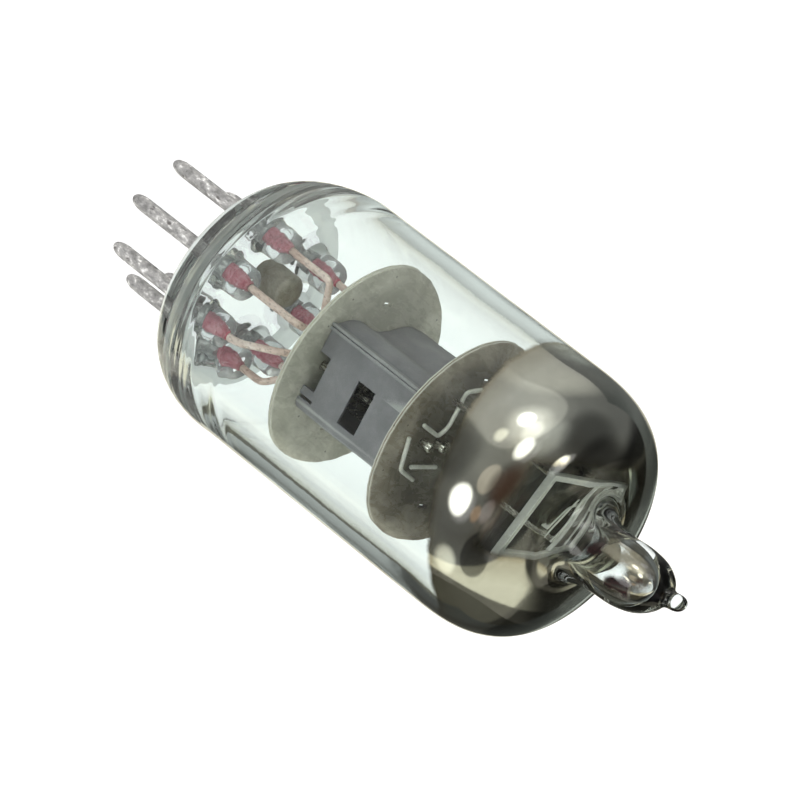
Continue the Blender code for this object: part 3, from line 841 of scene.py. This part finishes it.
def build_pins(finishes):
    """Pins with rounded, slightly worn tips, each with the crimson seal over it."""
    rows = 60
    pin = [(0.0, 0.0), (0.1, 0.012), (0.2, 0.06), (0.3, 0.17), (0.38, 0.34), (0.44, 0.56), (0.485, 0.8)]
    for row in range(rows + 1):
        pin.append((PIN_RADIUS, PIN_TAPER_END + (PIN_TOP - PIN_TAPER_END) * row / rows))
    pin.append((0.0, PIN_TOP))
    for number, centre in enumerate(PIN_CENTRES, start=1):

        def uneven(point, turn, number=number):
            swell = 1.0 + 0.02 * noise.noise(Vector((number * 5.0, point.z * 1.3, turn / 90.0)))
            return Vector((point.x * min(swell, 1.0), point.y * min(swell, 1.0), point.z))

        made = add_turned(f"pin_{number}", pin, 32, finishes["pin_metal"], uneven, centre)
        stand_for(made, "pin_metal", f"base_pin_{number}")
        foot = PIN_TOP + 0.01
        seal = [(0.0, foot), (SEAL_RADIUS * 0.9, foot), (SEAL_RADIUS, PIN_TOP + 0.2)]
        for row in range(12):
            z = PIN_TOP + 0.3 + (SEAL_TOP - PIN_TOP - 0.5) * row / 11
            seal.append((SEAL_RADIUS * (1.0 - 0.06 * sin(row * 1.9 + number)), z))
        seal += [(SEAL_RADIUS * 0.8, SEAL_TOP), (0.0, SEAL_TOP)]
        made = add_turned(f"seal_{number}", seal, 28, finishes["seal_copper"], None, centre)
        stand_for(made, "seal_copper", f"seal_wire_{number}")


def build_leads(finish):
    """The coppery leads from the seals to the electrodes."""
    for number, route in enumerate(lead_routes(), start=1):
        path = evenly(rounded(route, LEAD_BEND), 0.12)
        made = add_wire(f"lead_{number}", path, LEAD_RADIUS, 16, finish)
        stand_for(made, "lead_copper", f"inner_lead_{number}")


def lead_routes():
    """The points each lead turns through, from its seal to its electrode."""
    below_rod = ROD_BOTTOM - 0.06
    control = cage(0.0, -GRIDS["control_grid"][0], 0.0).xy
    screen = cage(0.0, GRIDS["screen_grid"][0], 0.0).xy
    suppressor = cage(0.0, GRIDS["suppressor_grid"][0], 0.0).xy
    strap = cage(STRAP_CENTRE, 0.0, 0.0).xy
    cathode = (-0.3, -0.95)
    low, high = HEATER_LEGS
    routes = (
        (15.9, (*control, 16.6), (*control, below_rod)),
        (16.7, (*cathode, 17.6), (*cathode, 18.9)),
        (12.9, (2.1, -3.2, 16.0), (*low, 17.1), (*low, HEATER_FOOT - 0.15)),
        (14.0, (2.4, 0.75, 16.1), (*high, 17.1), (*high, HEATER_FOOT - 0.15)),
        (15.7, (*strap, 17.1), (*strap, STRAP_BOTTOM - 0.06)),
        (15.1, (*screen, 16.5), (*screen, below_rod)),
        (16.1, (*suppressor, 17.2), (*suppressor, below_rod)),
    )
    for centre, (rise, *stops) in zip(PIN_CENTRES, routes):
        foot = [(*centre, SEAL_TOP + 0.02), (*centre, rise)]
        yield [Vector(stop) for stop in foot + stops]


def build_shield(finish):
    """The small domed can on the stem."""
    outer = 1.2
    inner = 1.05
    bottom = STEM_TOP + 0.06
    profile = [
        (outer, bottom), (outer + 0.03, bottom + 0.1), (outer, bottom + 0.25), (outer, 11.75),
        (outer * 0.96, 11.98), (outer * 0.85, 12.14), (outer * 0.6, 12.25), (outer * 0.3, 12.29),
        (0.0, 12.3), (0.0, 12.15), (inner * 0.8, 12.02), (inner, 11.8), (inner, bottom),
        (outer, bottom)]
    made = add_turned("shield_can", profile, 48, finish, None, (-1.05, -0.6))
    stand_for(made, "dark_metal", "stem_shield")


def build_mica(place, bottom, slits, finishes):
    """A mica disc with a split rim, punched for the rods, the cathode and the tabs."""
    top = bottom + MICA_THICKNESS
    middle = (bottom + top) / 2
    under = [(radius, bottom) for radius in (0.0, 2.0, 4.0, 6.0, MICA_RADIUS - 0.06)]
    under += [(MICA_RADIUS, bottom + 0.04), (MICA_RADIUS, middle - 0.05)]
    over = [(radius, bottom + top - z) for radius, z in under[::-1]]

    def chipped(point, azimuth):
        if point.xy.length < MICA_CHIPPED_FROM:
            return point
        bite = 0.05 * noise.noise(Vector((azimuth / 6.0, bottom, 0.0)))
        bite += 0.02 * noise.noise(Vector((azimuth / 1.7, 3.0, point.z * 3)))
        return point + outward(point) * min(bite, 0.0)

    bm = bmesh.new()
    turned(bm, [*under, (MICA_RADIUS - 0.09, middle), *over], 240, chipped)
    disc = add_object(f"{place}_disc", bm, finishes[f"{place}_mica"], finishes["mica_edge"])
    low = bottom - 0.5
    high = top + 0.5
    holes = bmesh.new()

    def punch(radius, sides, centre):
        turned(holes, [(0.0, low), (radius, low), (radius, high), (0.0, high)], sides, None, centre)

    punch(CATHODE_RADIUS + MICA_HOLE_GAP, 32, (0.0, 0.0))
    for side in (-1, 1):
        for distance, radius in GRIDS.values():
            punch(radius + MICA_HOLE_GAP, 24, cage(0.0, side * distance, 0.0).xy)
    for across, along in slits:
        block(holes, cage, across, along, low, high)
    cut_out(disc, holes)
    shade(disc.data, 30.0)
    for face in disc.data.polygons:
        if face.center.xy.length > (MICA_RADIUS - 0.2) * MM and abs(face.normal.z) < 0.8:
            face.material_index = 1
    stand_for(disc, "mica", f"{place}_mica")


def side_reach(along):
    """How far a broad side of the anode stands out from the cage's middle plane."""
    return SIDE_MEAN - SIDE_WAVE * cos(2 * pi * along / SIDE_WAVE_LENGTH)


def thickened(path, thickness):
    """The closed outline of a strip that runs along an open path of 2-D points."""
    left = []
    right = []
    for i, point in enumerate(path):
        way_in = (point - path[i - 1]).normalized() if i else (path[1] - point).normalized()
        way_out = (path[i + 1] - point).normalized() if i < len(path) - 1 else way_in
        way = (way_in + way_out).normalized()
        reach = thickness / 2 / way.dot(way_in)
        normal = Vector((-way.y, way.x))
        left.append(point + normal * reach)
        right.append(point - normal * reach)
    return left + right[::-1]


def anode_outline():
    """The first pressing's outline: from one seam round a narrow face and a broad side."""
    deep = ANODE_HALF_DEPTH
    bend = 0.7
    bend_steps = 8
    side_steps = 40
    seam = side_reach(deep) - SEAM_INSET
    outer_seam = seam + 2 * SEAM_INSET
    path = [(-seam, -deep - SEAM_LIP), (-seam, -deep - 0.12), (-seam + 0.03, -deep - 0.03)]
    path.append((-seam + 0.12, -deep))
    turn = side_reach(deep - bend) - bend
    for step in range(bend_steps + 1):
        angle = pi / 2 * step / bend_steps
        path.append((turn + bend * sin(angle), -deep + bend - bend * cos(angle)))
    for step in range(1, side_steps):
        along = -deep + bend + (2 * deep - bend) * step / side_steps
        path.append((side_reach(along), along))
    path += [(outer_seam, deep), (outer_seam, deep + SEAM_LIP)]
    return thickened([Vector(point) for point in path], ANODE_WALL)


def build_anode(finish):
    """The anode's two pressings, with rounded edges."""
    for number, flip in ((1, 1.0), (2, -1.0)):
        bm = bmesh.new()
        outline = [cage(p.x * flip, p.y * flip, 0.0).xy for p in anode_outline()]
        prism(bm, outline, ANODE_BOTTOM, ANODE_TOP)
        half = add_object(f"anode_side_{number}", bm, finish)
        windows = bmesh.new()
        face = sorted(around(-flip * ANODE_HALF_DEPTH, 0.15))
        for span, low, high in ANODE_WINDOWS:
            block(windows, cage, sorted((flip * span[0], flip * span[1])), face, low, high)
        cut_out(half, windows)
        bevel(half, 0.035, 2, 50.0)
        stand_for(half, "anode_metal", f"anode_half_{number}")


def upright(foot, *heights):
    """An upright path over a place, through the given heights."""
    return [Vector((foot.x, foot.y, z)) for z in heights]


def build_rods(finish):
    """The grids' side rods, cut off above the upper mica."""
    for name, (distance, radius) in GRIDS.items():
        for number, side in ((1, -1), (2, 1)):
            foot = cage(0.0, side * distance, 0.0)
            path = upright(foot, ROD_BOTTOM, ROD_BOTTOM + 1.0, 24.0, ROD_TOP - 1.0, ROD_TOP)
            made = add_wire(f"{name}_post_{number}", path, radius, 20, finish)
            stand_for(made, "nickel", f"{name}_rod_{number}")


def build_top_wires(finish):
    """The bent wires that lie over the upper mica."""
    z = UPPER_MICA_BOTTOM + MICA_THICKNESS + 0.26
    raised = z + 0.1
    routes = (
        ((-3.8, -2.5, z + 0.3), (-3.1, -3.45, z), (-0.66, -2.8, raised), (0.2, -3.2, raised),
         (0.05, -5.2, z)),
        ((1.15, -5.7, z), (3.2, -4.3, z), (3.4, -2.3, z)),
        ((2.75, -3.5, z), (1.95, -1.2, raised)),
    )
    for number, stops in enumerate(routes, start=1):
        path = evenly(rounded([Vector(stop) for stop in stops], 0.35), 0.1)
        made = add_wire(f"top_wire_{number}", path, 0.15, 14, finish)
        stand_for(made, "nickel", f"top_strap_{number}")


def build_strap(finish):
    """The strip on the anode's side that passes the lower mica to its lead."""
    bm = bmesh.new()
    block(bm, cage, around(STRAP_CENTRE, 0.08), (-0.4, 0.4), STRAP_BOTTOM, STRAP_TOP)
    made = add_object("anode_tab", bm, finish)
    bevel(made, 0.03)
    stand_for(made, "nickel", "anode_strap")


def getter_place(across, along, z):
    """A point in the getter, whose frame is a little skewed and stands off the cage's middle."""
    return cage(GETTER_SHIFT + across, along + GETTER_SKEW * across, z)


def getter_block(across, along, bottom, top):
    """A block in the getter, as a mesh of its own."""
    bm = bmesh.new()
    block(bm, getter_place, across, along, bottom, top)
    return bm


def build_getter(finishes):
    """The getter's frame, its channel with the flashed metal, and its posts."""
    bright = finishes["bright_wire"]
    half_long = GETTER_LENGTH / 2
    half_wide = GETTER_WIDTH / 2
    inner_long = around(0.0, half_long - GETTER_STRIP)
    inner_wide = around(0.0, half_wide - GETTER_STRIP)
    top = GETTER_Z + GETTER_HEIGHT
    above = top + 1.0
    rim = getter_block(around(0.0, half_wide), around(0.0, half_long), GETTER_Z, top)
    rim = add_object("getter_rim", rim, bright)
    cut_out(rim, getter_block(inner_wide, inner_long, GETTER_Z - 1.0, above))
    for side in (-1, 1):
        slot = around(side * (half_long - 0.21), 0.09)
        cut_out(rim, getter_block(around(0.0, half_wide - 0.6), slot, GETTER_Z + 0.1, above))
    bevel(rim, 0.03)
    stand_for(rim, "nickel", "getter_frame")

    reach = inner_wide[1] - 0.06
    near, far = CHANNEL_SPAN
    trough = getter_block(around(0.0, reach), CHANNEL_SPAN, GETTER_Z, top)
    trough = add_object("getter_trough", trough, bright)
    wall = TROUGH_WALL
    floor = GETTER_Z + wall
    cut_out(trough, getter_block(around(0.0, reach - wall), (near + wall, far - wall), floor, above))
    bevel(trough, 0.03)
    stand_for(trough, "nickel", "getter_channel")

    wall = 2 * TROUGH_WALL
    floor = GETTER_Z + wall
    bm = getter_block(around(0.0, reach - wall), (near + wall, far - wall), floor, top - 0.06)
    bmesh.ops.subdivide_edges(bm, edges=bm.edges[:], cuts=12, use_grid_fill=True)
    for vert in bm.verts:
        if vert.co.z > top - 0.1:
            vert.co.z += 0.1 * noise.noise(vert.co * 2.5) - 0.03
    crust = add_object("getter_crust", bm, finishes["dark_metal"])
    stand_for(crust, "dark_metal", "getter_pellet")

    bottom = UPPER_MICA_BOTTOM + MICA_THICKNESS + 0.06
    for number, side in ((1, -1), (2, 1)):
        foot = getter_place(side * (half_wide - 0.2), side * (half_long - 0.2), 0.0)
        path = upright(foot, bottom, bottom + 1.0, 33.0, GETTER_Z - 1.0, GETTER_Z - 0.06)
        made = add_wire(f"getter_leg_{number}", path, 0.2, 18, finishes["nickel"])
        stand_for(made, "nickel", f"getter_post_{number}")


# Thin wires by the getter, as stops in millimetres, and the bead that holds them
TANGLE_WIRES = (
    ((1.35, 0.6, 37.6), (-0.2, 0.4, 37.9), (-2.2, 0.9, 37.7), (-2.8, 2.3, 37.5)),
    ((0.8, 1.1, 37.5), (-0.7, 1.9, 37.8), (-2.1, 2.5, 37.7), (-2.9, 3.5, 37.5)),
    ((0.7, -1.3, 37.6), (-0.6, -1.3, 38.0), (-1.2, -0.6, 37.8), (-1.7, 1.0, 37.5)),
    ((1.3, -0.6, 37.5), (-0.4, -0.4, 37.7), (-2.0, 0.3, 37.6)),
    ((-2.9, 3.9, 37.7), (-2.6, 4.6, 38.0), (-1.7, 5.0, 37.8), (-1.0, 5.1, 37.4)),
    ((-3.3, 3.6, 37.6), (-2.9, 4.9, 37.5), (-1.9, 5.6, 37.2)),
)
TANGLE_BEAD = (-2.95, 3.75, 37.6)
TANGLE_COIL = (-2.5, 2.7, 37.7)
COIL_RADIUS = 0.36
COIL_TURNS = 3
COIL_STEPS = 24
COIL_RISE = 0.012


def build_tangle(finishes):
    """The getter's fine lead wires, a loose coil in them and the bead they meet in."""
    bm = bmesh.new()
    for stops in TANGLE_WIRES:
        wire(bm, evenly(smooth_curve([Vector(stop) for stop in stops], 8), 0.12), 0.11, 10)
    coil = []
    for step in range(COIL_TURNS * COIL_STEPS + 1):
        turn = 2 * pi * step / COIL_STEPS
        rise = COIL_RISE * step
        x = COIL_RADIUS * cos(turn) - rise
        y = COIL_RADIUS * sin(turn) + rise
        coil.append(Vector(TANGLE_COIL) + Vector((x, y, rise * 0.3)))
    wire(bm, coil, 0.075, 10)
    stand_for(add_object("getter_wires", bm, finishes["bright_wire"]), "nickel")
    bm = bmesh.new()
    bmesh.ops.create_icosphere(bm, subdivisions=4, radius=0.5)
    for vert in bm.verts:
        swell = 1.0 + 0.22 * noise.noise(vert.co * 2.2)
        vert.co = vert.co * Vector((0.75, 1.05, 0.8)) * swell + Vector(TANGLE_BEAD)
    stand_for(add_object("getter_bead", bm, finishes["cathode_coating"]), "cathode_coating")


def build_cathode(finish):
    """The coated cathode sleeve."""
    bore = CATHODE_RADIUS - 0.12
    lip = CATHODE_RADIUS - 0.03
    profile = [
        (bore, 18.7), (lip, 18.7), (CATHODE_RADIUS, 18.75), (CATHODE_RADIUS, 29.45), (lip, 29.5),
        (bore, 29.5), (bore, 18.7)]
    made = add_turned("cathode_tube", profile, 40, finish)
    stand_for(made, "cathode_coating", "cathode_sleeve")


# ---------------------------- studio


def aim(elevation, azimuth):
    """A direction in the studio: up from its table, and round from across it to the tip."""
    up = radians(elevation)
    around = radians(azimuth)
    level = STUDIO_ACROSS * cos(around) + STUDIO_ALONG * sin(around)
    return STUDIO_UP * sin(up) + level * cos(up)


# What the studio shows in a mirror, in order: its direction, the radius of its full part and
# of its end, and its colour. A fourth number instead keeps only so much of what is behind.
STUDIO_PATCHES = (
    ((70, -25), (34, 38), (0.22, 0.215, 0.20)),
    ((74, 20), (4, 26), (0.55, 0.54, 0.50)),
    ((15, -36), (8, 34), (0.36, 0.35, 0.31)),
    ((46, 56), (4, 24), (0.24, 0.25, 0.24)),
    ((45, 150), (12, 15), (0.38, 0.33, 0.27)),
    ((42, -138), (8, 28), 0.45),
    ((-22, 137), (18, 21), 0.3),
    ((-76, -150), (34, 36), 0.12),
    ((-60, 8), (25, 28), 0.2),
    ((-45, 12), (22, 32), 0.08),
    ((35, 122), (8, 26), 0.25),
    ((33, 118), (6, 24), (0.05, 0.012, 0.0)),
    ((14, 38), (10, 30), 0.4),
    ((-16, 48), (8, 26), 0.25),
    ((14, 135), (6, 12), (0.22, 0.19, 0.205)),
    ((-4, 126), (6, 12), (0.20, 0.175, 0.185)),
    ((3, 114), (3, 13), (0.17, 0.145, 0.15)),
    ((14, 151), (4, 9), (0.30, 0.17, 0.09)),
    ((6, 98), (2, 8), (0.16, 0.07, 0.05)),
    ((-20, 112), (4, 15), (0.12, 0.12, 0.13)),
    ((-30, 178), (6, 15), (0.8, 0.8, 0.7)),
    ((74, -6), (4, 10), (2.2, 2.2, 2.15)),
    ((80, -141), (2, 8), (0.9, 0.88, 0.75)),
    ((62, 92), (4, 13), (2.6, 2.6, 2.5)),
    ((70, 50), (2, 14), (0.7, 0.7, 0.66)),
    ((22, 179), (8, 16), (3.2, 3.2, 3.1)),
    ((6, 68), (5, 9), (3.0, 3.0, 2.85)),
)
# Its plain colours by height over the table: the table, the dark past its edge, walls and ceiling
STUDIO_HEIGHTS = (
    (-48, (0.88, 0.85, 0.68)), (-33, (0.86, 0.83, 0.66)), (-31, (0.18, 0.18, 0.17)),
    (-6, (0.14, 0.14, 0.135)), (30, (0.20, 0.20, 0.19)), (52, (0.30, 0.30, 0.28)))


def studio_mirrored(nodes, direction):
    """The colour that a mirror shows in a direction."""
    up = nodes.vector("DOT_PRODUCT", direction, tuple(STUDIO_UP))
    share = nodes.maths("MULTIPLY_ADD", up, 0.5, 0.5)
    colour = nodes.ramp(share, [
        (sin(radians(height)) / 2.0 + 0.5, tint) for height, tint in STUDIO_HEIGHTS])
    for place, radii, tint in STUDIO_PATCHES:
        near = nodes.vector("DOT_PRODUCT", direction, tuple(aim(*place)))
        full, end = [cos(radians(radius)) for radius in radii]
        cover = nodes.span(near, end, full, 0.0, 1.0, True)
        if isinstance(tint, tuple):
            colour = nodes.vector("ADD", colour, nodes.scaled(tint, cover))
        else:
            colour = nodes.scaled(colour, nodes.maths("MULTIPLY_ADD", cover, tint - 1.0, 1.0))
    return colour


def studio_soft(nodes, direction):
    """The same studio as soft light: what dull surfaces gather."""
    up = nodes.vector("DOT_PRODUCT", direction, tuple(STUDIO_UP))
    key = nodes.vector("DOT_PRODUCT", direction, tuple(aim(27, -176)))
    over = nodes.maths("POWER", nodes.maths("MAXIMUM", up, 0.0), 2.0)
    side = nodes.maths("POWER", nodes.maths("MAXIMUM", key, 0.0), 4.0)
    under = nodes.span(up, -0.3, 0.1, 0.85, 0.0, True)
    total = nodes.maths("MULTIPLY_ADD", over, 1.3, 0.47)
    total = nodes.maths("MULTIPLY_ADD", side, 2.0, total)
    return nodes.scaled((1.0, 1.0, 1.0), nodes.maths("ADD", total, under))


# The bright and dark bands at the glass's edges: how bright the floor is for a ray that has
# turned through an angle in the glass, on the tube's -X side and on its +X side
RIM_PLACE = 9.3
RIM_LEFT = ((-20, 0.60), (6, 0.62), (20, 1.0), (33, 0.72), (45, 0.50), (90, 0.45))
RIM_RIGHT = (
    (-20, 0.85), (4, 0.75), (14, 0.32), (21, 0.20), (27, 0.11), (32, 0.30), (38, 0.43), (90, 0.45))
RIM_ANGLES = (-20, 90)
RIM_AXIS_HEIGHT = 2.0
RIM_AHEAD = 4.0
RIM_TINT = (0.93, 1.0, 0.965)
RIM_TURN = 52
RIM_NEAR = 53
RIM_FAR = 60
FLOOR_HALF = 2500.0


def rim_colour(nodes, where):
    """The colour the glass's edge bands gather from a place on the floor, and where they do."""
    first, last = RIM_ANGLES
    split = nodes.add("ShaderNodeSeparateXYZ", {0: nodes.scaled(where, 1.0 / MM)})
    across = split.outputs["X"]
    side = nodes.maths("GREATER_THAN", across, 0.0)
    out = nodes.maths("SUBTRACT", nodes.maths("ABSOLUTE", across), RIM_PLACE)
    on = nodes.maths("SUBTRACT", split.outputs["Y"], RIM_AXIS_HEIGHT)
    angle = nodes.maths("ARCTAN2", out, on)
    share = nodes.span(angle, radians(first), radians(last), 0.0, 1.0)
    bands = []
    for stops in (RIM_LEFT, RIM_RIGHT):
        shares = [((turn - first) / (last - first), (level, level, level)) for turn, level in stops]
        bands.append(nodes.ramp(share, shares))
    distance = nodes.vector("LENGTH", where)
    far = nodes.span(distance, RIM_NEAR * MM, RIM_FAR * MM, 1.0, 0.16, True)
    level = nodes.vector("MULTIPLY", nodes.scaled(nodes.mix(side, *bands), far), RIM_TINT)
    ahead = nodes.maths("GREATER_THAN", on, RIM_AHEAD)
    within = nodes.maths("LESS_THAN", angle, radians(RIM_TURN))
    return level, nodes.maths("MULTIPLY", ahead, within)


def seen_plainly(nodes, path):
    """1 where a ray has met neither a mirror nor a dull surface."""
    bounced = nodes.maths("ADD", path.outputs["Glossy Depth"], path.outputs["Diffuse Depth"])
    return nodes.maths("LESS_THAN", bounced, 0.5)


def build_world():
    """The studio: one look for mirrors, one for dull surfaces, and plain white seen plainly."""
    world = bpy.data.worlds.new("studio")
    bpy.context.scene.world = world
    world.use_nodes = True
    nodes = Nodes(world.node_tree)
    direction = nodes.add("ShaderNodeTexCoord").outputs["Generated"]
    path = nodes.add("ShaderNodeLightPath")
    gathered = nodes.maths("GREATER_THAN", path.outputs["Diffuse Depth"], 0.5)
    colour = nodes.mix(gathered, studio_mirrored(nodes, direction), studio_soft(nodes, direction))
    colour = nodes.mix(seen_plainly(nodes, path), colour, (1.05, 1.05, 1.05, 1.0))
    nodes.fill(world.node_tree.nodes["Background"], {"Color": colour})


def build_floor():
    """A plain pale floor that glows enough to keep the shadow on it faint.

    It is there only for what is seen plainly; mirrors and dull surfaces see the studio's
    light through it, and the glass's edges their bands on it.
    """
    made, nodes, shader = new_material("floor")
    nodes.tree.nodes.remove(shader)
    path = nodes.add("ShaderNodeLightPath")
    glow = nodes.add("ShaderNodeEmission", {"Color": (0.86, 0.86, 0.86, 1.0)})
    dull = nodes.add("ShaderNodeBsdfDiffuse", {"Color": (0.34, 0.34, 0.34, 1.0)})
    pale = nodes.add("ShaderNodeAddShader", {0: glow.outputs["Emission"], 1: dull.outputs["BSDF"]})
    clear = nodes.add("ShaderNodeBsdfTransparent")
    level, banding = rim_colour(nodes, nodes.add("ShaderNodeNewGeometry").outputs["Position"])
    rim = nodes.add("ShaderNodeEmission", {"Color": level})
    crossed = nodes.maths("COMPARE", path.outputs["Transmission Depth"], 2.0, 0.5)
    mirrored = nodes.maths("GREATER_THAN", path.outputs["Glossy Depth"], 0.5)
    banded = nodes.maths("MULTIPLY", nodes.maths("MULTIPLY", crossed, mirrored), banding)
    unseen = nodes.either(banded, clear.outputs["BSDF"], rim.outputs["Emission"])
    shown = nodes.either(seen_plainly(nodes, path), unseen, pale.outputs["Shader"])
    nodes.fill(nodes.tree.nodes["Material Output"], {"Surface": shown})

    bm = bmesh.new()
    half = FLOOR_HALF
    corners = [(-half, -half, 0.0), (half, -half, 0.0), (half, half, 0.0), (-half, half, 0.0)]
    bm.faces.new([bm.verts.new(corner) for corner in corners])
    add_object("floor", bm, made, recalc=False)


# The camera's place, and its own right, down and forward directions
CAMERA_PLACE = Vector((-16.674, -288.341, 205.785))
CAMERA_RIGHT = Vector((-0.591029, 0.455758, 0.665559))
CAMERA_DOWN = Vector((0.805166, 0.283287, 0.521015))
CAMERA_FORWARD = Vector((0.048913, 0.843820, -0.534392))
CAMERA_LENS = 238.0


def build_camera():
    """The camera, from the photo's angle."""
    data = bpy.data.cameras.new("camera")
    data.lens = CAMERA_LENS
    data.sensor_width = 36.0
    data.clip_start = 0.01
    data.clip_end = 20.0
    camera = bpy.data.objects.new("camera", data)
    turn = Matrix((CAMERA_RIGHT, -CAMERA_DOWN, -CAMERA_FORWARD)).transposed()
    camera.matrix_world = Matrix.Translation(CAMERA_PLACE * MM) @ turn.to_4x4()
    bpy.context.scene.collection.objects.link(camera)
    bpy.context.scene.camera = camera


# ---------------------------- assembly


finishes = make_materials()
build_camera()
build_world()
build_floor()

build_envelope(finishes)
build_film(finishes["getter_film"])
build_pins(finishes)
build_leads(finishes["lead_copper"])
build_shield(finishes["dark_metal"])
tab_slits = [(around(side * MICA_TAB, 0.13), (-0.9, 0.0)) for side in (-1, 1)]
strap_slit = (around(STRAP_CENTRE, 0.2), (-0.5, 0.5))
build_mica("lower", LOWER_MICA_BOTTOM, [*tab_slits, strap_slit], finishes)
build_mica("upper", UPPER_MICA_BOTTOM, tab_slits, finishes)
build_anode(finishes["anode_metal"])
build_strap(finishes["nickel"])
build_rods(finishes["nickel"])
build_top_wires(finishes["bright_wire"])
build_getter(finishes)
build_tangle(finishes)
build_cathode(finishes["cathode_coating"])

for node, slot in (
    ("control_grid_winding", "nickel"), ("screen_grid_winding", "nickel"),
    ("suppressor_grid_winding", "nickel"), ("heater", "cathode_coating"),
):
    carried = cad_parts[node]
    carried.data.materials.clear()
    carried.data.materials.append(finishes[slot])

scene = bpy.context.scene
scene.view_settings.view_transform = "Standard"
scene.cycles.max_bounces = 24
scene.cycles.transmission_bounces = 24
scene.cycles.glossy_bounces = 8
scene.cycles.transparent_max_bounces = 16
